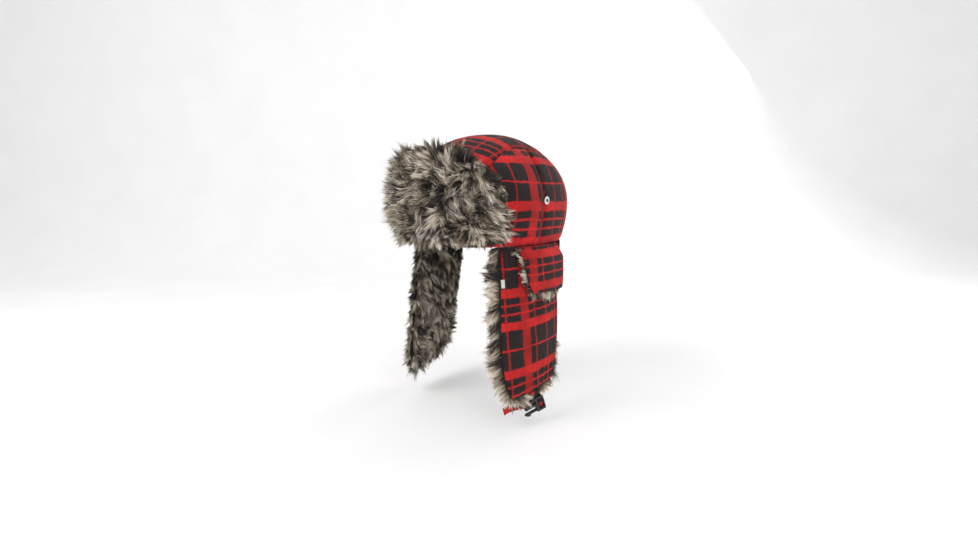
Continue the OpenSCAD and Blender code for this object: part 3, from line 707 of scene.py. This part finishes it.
def quilt(u, v):
    """Diamond quilting on the lining's inner face, fading out at the top."""
    p = np.stack([u * 640, v * W_TOP], -1)
    a = np.abs(np.sin(np.pi * (p[:, 0] + p[:, 1]) / 40))
    b = np.abs(np.sin(np.pi * (p[:, 0] - p[:, 1]) / 40))
    puffed = np.minimum(a, b) ** 0.5
    fade = np.clip((1 - v) * 5, 0, 1)
    q = np.stack([u * 640, v * 200, 0 * u], -1)
    return 0.15 * noise(q, 20, 5), -1.3 * puffed * fade + 1.0 + 0.25 * noise(q, 11, 6)


lining = tube_shell("crown_lining", dome_surface, 180, 64, -2.5, -7.4, quilt, cap=True)
dress(lining, M_LINING, "crown", "lining_cloth", "crown_wadding", "crown_lining")


def band_surface(u, v, off):
    t = np.radians(183.2 + 353.6 * u)
    return ring(t, 2 + 32 * v, off)


def uneven(width, height, height_mm, size, seed):
    """Slight bumps on a flat strip of the given width and height."""
    return lambda u, v: height_mm * noise(np.stack([u * width, v * height, 0 * u], -1), size, seed)


sweat = shell("sweatband_cloth", band_surface, 150, 8, -8.7, -10.0,
              lambda u, v: (u * 590, v * 32), uneven(590, 32, 0.18, 16, 8))
dress(sweat, M_BAND, "crown", "sweatband_cloth", "sweatband")

nape = shell("nape_cloth", nape_surface, 90, 8, 0.0, -CLOTH,
             lambda u, v: (u * 240 + 40, v * 15 - 15), uneven(240, 15, 0.35, 24, 9))
dress(nape, M_SIDE, "crown", "plaid_cloth", "nape_band")


# ---------------------------------------------------------------- thread
class Stitches:
    """Raised stitches of one colour, collected into one mesh for each body."""

    def __init__(self):
        self.verts, self.faces = [], []

    def line(self, points, normals, pitch=3.4, length=2.5, width=0.34, rise=0.28, sunk=0.15):
        step = np.linalg.norm(np.diff(points, axis=0), axis=1)
        at = np.concatenate([[0], np.cumsum(step)])
        s = 1.0
        while s + length < at[-1]:
            first, last = (np.array([np.interp(k, at, points[:, c]) for c in range(3)]) for k in (s, s + length))
            n = np.array([np.interp(s + length / 2, at, normals[:, c]) for c in range(3)])
            n = n / np.linalg.norm(n)
            ahead = (last - first) / max(1e-6, np.linalg.norm(last - first))
            across = np.cross(n, ahead)
            k = len(self.verts)
            self.verts.append(first - n * sunk)
            for e in (0.25, 0.75):
                mid = first + (last - first) * e
                for a, b in ((1, 0), (0.5, 1), (-0.5, 1), (-1, 0), (0, -0.6)):
                    self.verts.append(mid + across * a * width * 0.9 + n * b * rise * 0.9)
            self.verts.append(last - n * sunk)
            for i in range(5):
                j = (i + 1) % 5
                self.faces.append((k, k + 1 + j, k + 1 + i))
                self.faces.append((k + 1 + i, k + 1 + j, k + 6 + j, k + 6 + i))
                self.faces.append((k + 11, k + 6 + i, k + 6 + j))
            s += pitch

    def along(self, surface, us, vs, off, lift=None, **how):
        us, vs = np.asarray(us, float), np.asarray(vs, float)
        extra = lift(us, vs) if lift else 0
        p = surface(us, vs, off + extra)
        q = surface(us, vs, off + extra + 1.0)
        self.line(p, (q - p) / np.linalg.norm(q - p, axis=1, keepdims=True), **how)

    def build(self, name):
        return make(name, self.verts, self.faces)


crown_thread = Stitches()
walk = np.linspace(0.004, 0.996, 260)
for edge in (CROWN_SEAM_INSET, 2 * SEAM - CROWN_SEAM_INSET):
    crown_thread.along(strip_surface, walk * 0 + edge / (2 * SEAM), walk, 0.05, strip_soft)
rows = np.linspace(0.02, 0.93, 120)
for side in ("left", "right"):
    for part, a, b in PANELS:
        base = panel_shape(a, b)[0]
        span = np.linalg.norm(base(rows * 0 + 1, rows, 0) - base(rows * 0, rows, 0), axis=1)
        share = np.clip(CROWN_SEAM_INSET / span, 0, 0.4)
        for s in (share, 1 - share):
            crown_thread.along(sided(side, base), s, rows, 0.05, panel_softness(side, part))
dress(crown_thread.build("crown_stitching"), M_THREAD, "crown", "plaid_cloth")


# ---------------------------------------------------------------- fur
def fur(name, surface, off, side, count, length, lay, seed, density=None, tone=0.5, clump=18, width=0.85,
        patch=10, spread=0.13, curl=0.42, settle=-0.2, pull=(0.6, 1.0)):
    """Tapered strands rooted on a surface. side is the direction of off that the pile grows towards.

    The strands lean and curl together in clumps, and their map holds their tone and the way to the tip.
    """
    rng = np.random.default_rng(seed)
    n = 70
    cu, cv = np.meshgrid((np.arange(n) + 0.5) / n, (np.arange(n) + 0.5) / n)
    cu, cv = cu.ravel(), cv.ravel()
    e = 0.5 / n
    across = surface(cu + e, cv, off + 0 * cu) - surface(cu - e, cv, off + 0 * cu)
    up = surface(cu, cv + e, off + 0 * cu) - surface(cu, cv - e, off + 0 * cu)
    weight = np.linalg.norm(np.cross(across, up), axis=1)
    if density is not None:
        weight = weight * density(cu, cv)
    pick = rng.choice(len(cu), count, p=weight / weight.sum())
    u = np.clip(cu[pick] + rng.uniform(-e, e, count), 0.001, 0.999)
    v = np.clip(cv[pick] + rng.uniform(-e, e, count), 0.001, 0.999)
    p = surface(u, v, off + 0 * u)
    normal = surface(u, v, off + side * 1.0 + 0 * u) - p
    normal /= np.linalg.norm(normal, axis=1, keepdims=True)
    tu = surface(u + 1e-3, v, off + 0 * u) - surface(u - 1e-3, v, off + 0 * u)
    tv = surface(u, v + 1e-3, off + 0 * u) - surface(u, v - 1e-3, off + 0 * u)
    tu /= np.linalg.norm(tu, axis=1, keepdims=True)
    tv /= np.linalg.norm(tv, axis=1, keepdims=True)
    an, au, av = lay(u, v)
    au = au + 0.75 * noise(p, 34, seed + 1) + 0.45 * noise(p, 13, seed + 3)
    av = av + 0.75 * noise(p, 34, seed + 2) + 0.45 * noise(p, 13, seed + 4)
    d = an[:, None] * normal + au[:, None] * tu + av[:, None] * tv
    d += spread * rng.normal(size=d.shape)
    d /= np.linalg.norm(d, axis=1, keepdims=True)
    long = length(u, v) * rng.uniform(0.62, 1.12, count) * (1 + 0.18 * noise(p, 15, seed + 6))
    k = max(2, count // clump)
    centre = rng.choice(count, k, replace=False)
    tree = KDTree(k)
    for i, c in enumerate(centre):
        tree.insert(Vector(p[c]), i)
    tree.balance()
    own = np.array([tree.find(Vector(x))[1] for x in p])
    c = centre[own]
    bend = curl * rng.normal(size=(k, 3))[own] + 0.10 * rng.normal(size=(count, 3)) + np.array([0, 0, settle])
    hold = rng.uniform(*pull, count)
    hold *= np.exp(-(np.linalg.norm(p - p[c], axis=1) / 9) ** 2)
    jitter = rng.normal(size=(count, 3))
    flat = np.cross(d, normal + 0.55 * jitter)
    flat /= np.maximum(np.linalg.norm(flat, axis=1, keepdims=True), 1e-6)
    wide = width * rng.uniform(0.6, 1.25, count)
    rings = []
    for t, w in ((0.0, 0.8), (0.36, 1.0), (0.72, 0.62), (1.0, 0.0)):
        alone = p + long[:, None] * (d * t + bend * t * t * 0.5)
        joined = p[c] + (alone - p) * 0.5 + long[:, None] * (d[c] * t + bend[c] * t * t * 0.5) * 0.5
        h = (hold * t**1.3)[:, None]
        mid = alone * (1 - h) + joined * h
        if w:
            rings += [mid - flat * (wide * w / 2)[:, None], mid + flat * (wide * w / 2)[:, None]]
        else:
            rings.append(mid)
    verts = np.stack(rings, 1).reshape(-1, 3)
    root = np.arange(count)[:, None] * 7
    quads = np.concatenate([root + [0, 1, 3, 2], root + [2, 3, 5, 4]], 0)
    tris = root + [4, 5, 6]
    faces = quads.tolist() + tris.tolist()
    shade = tone - 0.02 + 0.85 * noise(p, patch, seed + 7) + 0.75 * (rng.random(k)[own] - 0.5)
    shade += 0.16 * rng.normal(size=count)
    shade = np.clip(shade, 0.02, 0.98)
    uv = np.zeros((count, 7, 2))
    uv[:, :, 0] = shade[:, None] + np.array([-1, 1, -1, 1, -1, 1, 0]) * 0.012
    uv[:, :, 1] = np.array([0, 0, 0.36, 0.36, 0.72, 0.72, 1.0]) * 0.98 + 0.01
    obj = make(name, verts, faces, np.clip(uv.reshape(-1, 2), 0.001, 0.999), uv_name="OFBake")
    paint(obj, M_PILE)
    return obj


def edge_fade(u, v, wu, wv):
    """How near a point is to the left, right, low and high edge, from 0 inside to 1 on it."""
    return [np.clip(1 - k, 0, 1) for k in (u / wu, (1 - u) / wu, v / wv, (1 - v) / wv)]


def pelt(name, surface, nu, nv, outer, inner, seed, rounded=5.0, shaggy=1.6):
    """The fur's dark, uneven undercoat, thick in the middle and rounded at its edges."""
    def bumps(u, v):
        p = surface(u, v, 0 * u)
        return shaggy * 0.35 * noise(p, 6, seed) + shaggy * 0.25 * noise(p, 14, seed + 1)
    obj = shell(name, surface, nu, nv, outer, inner, lambda u, v: (u * 100, v * 100), bumps, rounded)
    paint(obj, M_COAT)
    return obj


# ---------------------------------------------------------------- visor
back = shell("visor_back_cloth", visor_surface, 80, 44, 1.6, 0.1,
             lambda u, v: ((u - 0.5) * VISOR_FLAT, v * VISOR_TOP), uneven(VISOR_FLAT, VISOR_TOP, 0.25, 20, 31))
dress(back, M_VISOR_BACK, "visor", "plaid_cloth", "visor_backing", "visor_interlining")

coat = pelt("visor_undercoat", visor_surface, 90, 46, 9.0, 2.0, 33)
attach(coat, "visor")
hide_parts("visor_fur")


def rounded_visor(u, v, off):
    """The visor's surface with its two upper corners rounded, for the fur."""
    s = np.abs(2 * u - 1)
    return visor_surface(u, v * (1 - 0.16 * s**8), off)


def visor_lay(u, v):
    l, r, b, t = edge_fade(u, v, 0.16, 0.24)
    up = 0.9 * t * (1 - 0.9 * np.abs(2 * u - 1) ** 3) - 0.75 * b + 0.05
    return 0.75 + 0 * u, 1.1 * (r - l) + 0.35 * (u - 0.5), up


def visor_length(u, v):
    l, r, b, t = edge_fade(u, v, 0.14, 0.22)
    return 17 - 3.5 * np.maximum(l, r) - 2.0 * t - 5.0 * b


def visor_density(u, v):
    l, r, b, t = edge_fade(u, v, 0.06, 0.09)
    return 1 + 1.6 * np.maximum(np.maximum(l, r), np.maximum(b, t))


pile_front = fur("visor_pile", rounded_visor, 8.0, 1, 30000, visor_length, visor_lay, 41, visor_density, tone=0.50)
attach(pile_front, "visor")


# ---------------------------------------------------------------- ear flaps
def flap_soft(u, v):
    """The ear flap dips at its edges, folds below the vent flap and gathers at its lower rear corner."""
    p = flap_surface(u, v, 0 * u)
    near = np.minimum(np.minimum(u, 1 - u) * 90, v * FLAP_LEN)
    lift = -0.9 * np.exp(-(near / 3.0) ** 2) + 0.35 * noise(p, 6, 51) * np.exp(-((near - 5) / 6) ** 2)
    fold = 0.9 * noise(p * np.array([1, 1, 0.35]), 30, 52) * np.clip(v * 3, 0, 1) * np.clip((1 - v) * 6, 0, 1)
    top = -0.5 * np.exp(-(((1 - v) * FLAP_LEN) / 3) ** 2)
    pleat = np.sin(2 * np.pi * (u * 9 + 1.4 * v) + 2 * noise(p, 40, 53))
    fold = fold + 1.1 * pleat * np.clip(1 - v / 0.30, 0, 1) * np.clip((u - 0.3) * 2.5, 0, 1)
    below_vent = np.clip((0.66 - v) * 4, 0.15, 1)
    return 0.55 * lift + np.clip(fold, -1.0, 0.6) * np.clip(near / 14, 0, 1) * below_vent + top


def cut_round(obj, centre, radius, length):
    """Cuts a round hole with its axis along X."""
    bpy.ops.mesh.primitive_cylinder_add(vertices=48, radius=radius * MM, depth=length * MM)
    tool = bpy.context.object
    tool.location = Vector(centre) * MM
    tool.rotation_euler = (0, math.pi / 2, 0)
    mod = obj.modifiers.new("port", "BOOLEAN")
    mod.operation, mod.object, mod.solver = "DIFFERENCE", tool, "EXACT"
    bpy.context.view_layer.objects.active = obj
    bpy.ops.object.modifier_apply(modifier=mod.name)
    bpy.data.objects.remove(tool, do_unlink=True)


def flap_lay(u, v):
    l, r, b, _ = edge_fade(u, v, 0.13, 0.12)
    low = np.clip((0.42 - v) / 0.2, 0, 1)
    return 0.55 - 0.35 * np.maximum(l, b), 0.9 * (r * low - 1.25 * l), -0.55 - 0.8 * b


def flap_length(u, v):
    l, _, _, t = edge_fade(u, v, 0.10, 0.10)
    rear = 1 - 0.68 * np.clip((u - 0.86) / 0.12, 0, 1) * np.clip((v - 0.18) / 0.14, 0, 1)
    return (13.0 + 1.5 * l) * rear * (1 - 0.45 * t)


def flap_density(u, v):
    l, r, b, _ = edge_fade(u, v, 0.07, 0.05)
    return 1 + 3.2 * l + 1.4 * r + 2.6 * b


def flap_edge_density(u, v):
    """The outer fringe, seen past the front edge and the hem."""
    front = np.clip(1 - u / 0.055, 0, 1)
    hem = np.clip(1 - v / 0.035, 0, 1)
    rear = np.clip(1 - (1 - u) / 0.03, 0, 1) * np.clip((0.30 - v) / 0.1, 0, 1)
    return np.maximum(np.maximum(front, hem), rear) + 1e-5


def vent_pelt(u, v, off):
    z = -56.5 + 51.5 * v
    uu = 0.01 + 0.98 * u
    f, r = vent_edges(-z / VENT_LEN)
    lift = VENT_LIFT * ease((-z - 1.2) / 18) * np.clip((off - 1.7) / 0.5, 0, 1)
    return hang(f + (r - f) * uu, z, off + lift)


def patch_surface(y0, y1, z0, z1):
    def s(u, v, off):
        z = z0 + (z1 - z0) * v
        return hang(y0 + (y1 - y0) * u, z, off)
    return s


def turned(side, obj):
    """Mirroring turns faces inside out, so the right side's are turned back."""
    if side == "right":
        obj.data.flip_normals()
    return obj


def fringe_lay(u, v):
    return 0.02 + 0 * u, np.where(u > 0.5, 0.75, -1.6) * (v > 0.04) + 0 * u, -0.30 - 1.0 * (v < 0.04)


def lid_soft(u, v):
    """The vent flap dips at its edges."""
    near = np.minimum(np.minimum(u, 1 - u) * 70, v * 60)
    return -0.8 * np.exp(-(near / 3.0) ** 2) + 0.3 * noise(vent_surface(u, v, 0 * u), 26, 55)


def rim(u, v):
    """The vent flap's fringe, along its front, its hem and its rear."""
    front = np.clip(1 - u / 0.10, 0, 1)
    hem = np.clip(1 - v / 0.14, 0, 1)
    rear = 0.9 * np.clip(1 - (1 - u) / 0.05, 0, 1)
    return np.maximum(np.maximum(front, hem), rear) + 1e-5


def rim_lay(u, v):
    front, rear, hem = u < 0.12, u > 0.93, v < 0.16
    return 0.10 + 0 * u, -1.0 * front + 0.45 * rear, -0.25 - 1.0 * hem + 0.1 * rear


def waffle(height, across, up):
    """Rows of small bumps, across by up of them."""
    return lambda u, v: height * np.sin(u * 2 * np.pi * across) * np.sin(v * 2 * np.pi * up)


for side in ("left", "right"):
    sx = 1.0 if side == "left" else -1.0
    flap, vent = f"{side}_flap", f"{side}_vent"
    bend = dict(start=(sx * BX * MM, 0, -0.0006), end=(sx * BX * MM, 0, -0.011))
    cloth = shell(f"{flap}_cloth", sided(side, flap_surface), 44, 86, 0.0, -CLOTH,
                  lambda u, v: (flap_surface(u, v, 0 * u)[:, 1], -(1 - v) * FLAP_LEN), flap_soft)
    turned(side, cloth)
    cut_round(cloth, (sx * 94, 0, PORT_Z), PORT_RADIUS, 24)
    dress(cloth, M_FLAP, ("crown", flap), "plaid_cloth", f"{flap}_shell", f"{flap}_wadding", **bend)

    coat = turned(side, pelt(f"{flap}_undercoat", sided(side, pelt_flap_surface), 50, 84, -2.4, -9.0, 61))
    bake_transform(coat)
    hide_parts(f"{flap}_fur")

    seed = 70 if side == "left" else 90
    surf = sided(side, fur_flap_surface)
    inner = fur(f"{flap}_pile", surf, -8.2, -1, 13000, flap_length, flap_lay, seed, flap_density, tone=0.5)
    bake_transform(inner)
    fringe = fur(f"{flap}_fringe", surf, -3.2, 1, 6500, lambda u, v: 13.0 + 0 * u, fringe_lay,
                 seed + 10, flap_edge_density, tone=0.62, clump=12, spread=0.2)
    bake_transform(fringe)

    net_shape = sided(side, patch_surface(-18, 18, PORT_Z - 18, PORT_Z + 18))
    net = turned(side, shell(f"{side}_port_net", net_shape, 72, 72, -1.75, -2.15,
                             lambda u, v: (u * 36, v * 36), waffle(0.12, 18, 18), 0.6))
    dress(net, M_MESH, flap, "mesh_cloth", f"{side}_port_mesh")

    for kind, base, body in (("hook", 0.2, flap), ("loop", 1.7, vent)):
        tape = turned(side, shell(f"{side}_{kind}_tape", sided(side, patch_surface(*PATCH)), 60, 28, base + 0.8,
                                  base, lambda u, v: (u * 20, v * 9), waffle(0.10, 20, 9), 0.5))
        dress(tape, M_HOOK, body, "hook_and_loop", f"{side}_{kind}_patch")

    # vent flap
    vent_bend = dict(start=(sx * 0.0951, 0, -0.0012), end=(sx * 0.0951, 0, -0.007))
    lid = shell(f"{vent}_cloth", sided(side, vent_surface), 48, 40, 4.0, 2.5,
                lambda u, v: (vent_surface(u, v, 0 * u)[:, 1], -1.2 - (1 - v) * 60.8), lid_soft)
    turned(side, lid)
    dress(lid, M_VENT, (flap, vent), "plaid_cloth", f"{vent}_shell", **vent_bend)
    coat = turned(side, pelt(f"{vent}_undercoat", sided(side, vent_pelt), 40, 34, 2.3, 1.5, 63, 3.0, 0.3))
    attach(coat, vent)
    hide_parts(f"{vent}_fur")

    edge = fur(f"{vent}_fringe", sided(side, vent_pelt), 2.0, 1, 2600,
               lambda u, v: np.where(u > 0.92, 4.0, 10.0), rim_lay, seed + 20, rim, tone=0.68, clump=7, width=0.7)
    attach(edge, vent)
    under = fur(f"{vent}_pile", sided(side, vent_pelt), 1.6, -1, 2200, lambda u, v: 7.0 + 0 * u,
                lambda u, v: (0.02 + 0 * u, 0 * u, -1.0 + 0 * u), seed + 22, None, tone=0.5, width=0.7, spread=0.04,
                curl=0.02, settle=0.0)
    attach(under, vent)

    flap_thread = Stitches()
    s = sided(side, flap_surface)
    rows = np.linspace(0.03, 0.97, 120)[1:]
    wide = np.linalg.norm(flap_surface(rows * 0 + 1, rows, 0) - flap_surface(rows * 0, rows, 0), axis=1)
    share = FLAP_SEAM_INSET / wide
    for us in (share, 1 - share):
        flap_thread.along(s, us, rows, 0.05, flap_soft)
    flap_thread.along(s, np.linspace(0.09, 0.91, 80), np.full(80, FLAP_SEAM_INSET / FLAP_LEN), 0.05, flap_soft)
    dress(flap_thread.build(f"{flap}_stitching"), M_THREAD, ("crown", flap), "plaid_cloth", **bend)
    lid_thread = Stitches()
    s = sided(side, vent_surface)
    rows = np.linspace(0.08, 0.96, 60)
    for edge_u in (0.055, 0.945):
        lid_thread.along(s, rows * 0 + edge_u, rows, 4.0, lid_soft)
    lid_thread.along(s, np.linspace(0.06, 0.94, 60), np.full(60, 0.075), 4.0, lid_soft)
    dress(lid_thread.build(f"{vent}_stitching"), M_THREAD, (flap, vent), "plaid_cloth", **vent_bend)

tag = shell("side_tag", patch_surface(-68.6, -64.4, -48, -38), 8, 14, 0.85, 0.25,
            lambda u, v: (u * 7, v * 10), lambda u, v: 0.25 * np.sin(u * 4) * np.sin(v * 5), 0.6)
dress(tag, M_TAG, "left_flap", "tag_cloth", "side_label")

# ---------------------------------------------------------------- nape fur
coat = pelt("nape_undercoat", nape_surface, 90, 10, -1.8, -6.5, 65, 3.0, 1.2)
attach(coat, "crown")
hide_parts("nape_band_fur")
nape_pile = fur("nape_pile", nape_surface, -6.0, -1, 2600, lambda u, v: 8.0 + 0 * u,
                lambda u, v: (0.5 + 0 * u, 0 * u, -0.7 + 0 * u), 75, None, tone=0.5)
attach(nape_pile, "crown")


# ---------------------------------------------------------------- tapes
def rot(axis, deg):
    a = math.radians(deg)
    c, s = math.cos(a), math.sin(a)
    if axis == "Y":
        return np.array([[c, 0, s], [0, 1, 0], [-s, 0, c]])
    return np.array([[c, -s, 0], [s, c, 0], [0, 0, 1]])


PLUG = rot("Z", 245) @ rot("Y", 18)       # the plug's turn


def smooth_path(points, across, step=0.8):
    """Catmull-Rom through the points, with the width directions carried along."""
    p = np.array(points, float)
    w = np.array(across, float)
    p = np.concatenate([[2 * p[0] - p[1]], p, [2 * p[-1] - p[-2]]])
    w = np.concatenate([[w[0]], w, [w[-1]]])
    out, wide = [], []
    for i in range(1, len(p) - 2):
        n = max(2, int(np.linalg.norm(p[i + 1] - p[i]) / step))
        for t in np.arange(n) / n:
            a = -0.5 * t + t**2 - 0.5 * t**3
            b = 1 - 2.5 * t**2 + 1.5 * t**3
            c = 0.5 * t + 2 * t**2 - 1.5 * t**3
            d = -0.5 * t**2 + 0.5 * t**3
            out.append(a * p[i - 1] + b * p[i] + c * p[i + 1] + d * p[i + 2])
            wide.append(w[i] * (1 - t) + w[i + 1] * t)
    out.append(p[-2])
    wide.append(w[-2])
    return np.array(out), np.array(wide)


def tape_mesh(name, points, across, width=9.8, thick=0.9, columns=8):
    """A tape along the points. It is declared 10 mm wide, as in the CAD, and drawn 0.2 mm narrower."""
    path, wide = smooth_path(points, across)
    ahead = np.gradient(path, axis=0)
    ahead /= np.linalg.norm(ahead, axis=1, keepdims=True)
    wide = wide - (wide * ahead).sum(1)[:, None] * ahead
    wide /= np.linalg.norm(wide, axis=1, keepdims=True)
    normal = np.cross(ahead, wide)
    at = np.concatenate([[0], np.cumsum(np.linalg.norm(np.diff(path, axis=0), axis=1))])
    ring_s = np.linspace(-1, 1, columns + 1)
    profile = [(s, 1) for s in ring_s] + [(s, -1) for s in ring_s[::-1]]
    verts, uv, faces = [], [], []
    k = len(profile)
    for i in range(len(path)):
        for s, f in profile:
            h = thick / 2 * (1 - 0.55 * abs(s) ** 6) * (1 + 0.08 * math.sin(at[i] * 4.5) * (abs(s) < 0.9))
            verts.append(path[i] + wide[i] * s * width / 2 + normal[i] * f * h)
            uv.append(((s + 1) * width / 2 * MM, at[i] * MM))
    for i in range(len(path) - 1):
        for j in range(k):
            a, b = i * k + j, i * k + (j + 1) % k
            faces.append((a, b, b + k, a + k))
    faces.append(tuple(range(k))[::-1])
    faces.append(tuple((len(path) - 1) * k + j for j in range(k)))
    obj = make(name, verts, faces, uv)
    obj["flat_w"], obj["flat_l"], obj["area_mm2"] = 10.0, float(at[-1]), width * float(at[-1])
    return obj


STRAP_Y = -36.0                           # where the straps leave the hem
front, rear = flap_edges(1.0)
share = (STRAP_Y - front) / (rear - front)
HEM = hang(np.array([STRAP_Y]), np.array([float(flap_z(share, 1.0))]), np.array([-0.8]))[0]
PLUG_AT = HEM + np.array([5.3, 6.8, -15.7])
TURN_RADIUS, TAPE_BACK = 5.5, -6          # the quarter turn above the plug's bar, in the plug's own axes
local = [(4, TAPE_BACK, 11), (4, TAPE_BACK, 8)]
turn = [(1, 0, 0), (1, 0, 0)]
for deg in range(0, 91, 15):
    a = math.radians(deg)
    local.append((-1.5 + TURN_RADIUS * math.cos(a), TAPE_BACK, TURN_RADIUS * (1 - math.sin(a))))
    turn.append((math.cos(a), 0, -math.sin(a)))
# round the plug's bar and out behind the prongs
for p in [(-3, -5.2, 0), (-3.5, -3.4, 0), (-3.5, -1.4, 0), (-3.3, 0.9, 0), (-2.2, 2.1, 0), (0.4, 2.1, 0),
          (1.5, 0.9, 0), (1.7, -1.4, 0), (2, -3.2, 0), (3.2, -4.4, 0), (5.5, -4.6, 0.3), (10, -4.7, 1),
          (17, -4.8, 3.2), (26, -4.8, 6.2), (35, -4.4, 9), (42, -3.4, 10.4), (47.5, -2, 10.6)]:
    local.append(p)
    turn.append((0, 0, -1))
world = [PLUG_AT + PLUG @ np.array(p, float) for p in local]
cross_w = [PLUG @ np.array(p, float) for p in turn]
sign = 1.0 if cross_w[0][1] > 0 else -1.0
tab = [HEM + np.array([-0.1, 0, -1.0]), HEM + np.array([-0.4, 0, -3.0]), HEM + np.array([-0.9, 0.4, -4.9])]
left_tape = tape_mesh("left_chin_tape", tab + world, [np.array([0, sign, 0])] * 3 + cross_w)
dress(left_tape, M_TAPE, ("left_strap", "plug"), "plaid_cloth", "left_strap_tab", "left_strap_tail",
      start=tuple((HEM + np.array([-0.6, 0, -4.2])) * MM), end=tuple((HEM + np.array([-2.0, 2, -8.5])) * MM))

BAR = HEM + np.array([8.5, 0, 34])        # the socket's bar, as it would be on the left
points = [HEM + np.array(p) for p in ([2.1, 0, 0.4], [2.8, 0, 2.5], [4.0, 0, 9])]
points.append(BAR + np.array([-2.0, 0, -6]))
for deg in range(180, -61, -20):
    a = math.radians(deg)
    points.append(BAR + 2.0 * np.array([math.cos(a), 0, math.sin(a)]))
right_tape = tape_mesh("right_chin_tape", [p * FLIP for p in points], [(0, 1, 0)] * len(points))
dress(right_tape, M_TAPE, "right_strap", "plaid_cloth", "right_strap")

# ---------------------------------------------------------------- hardware keeps its CAD shape
for mat, nodes in ((M_NICKEL, ("eyelets", "eyelet_washers")), (M_SNAP, ("snap_stud", "snap_socket")),
                   (M_PLASTIC, ("buckle_plug", "plug_prong_upper", "plug_prong_lower", "buckle_socket"))):
    for node in nodes:
        paint(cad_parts[node], mat)

bpy.context.view_layer.update()
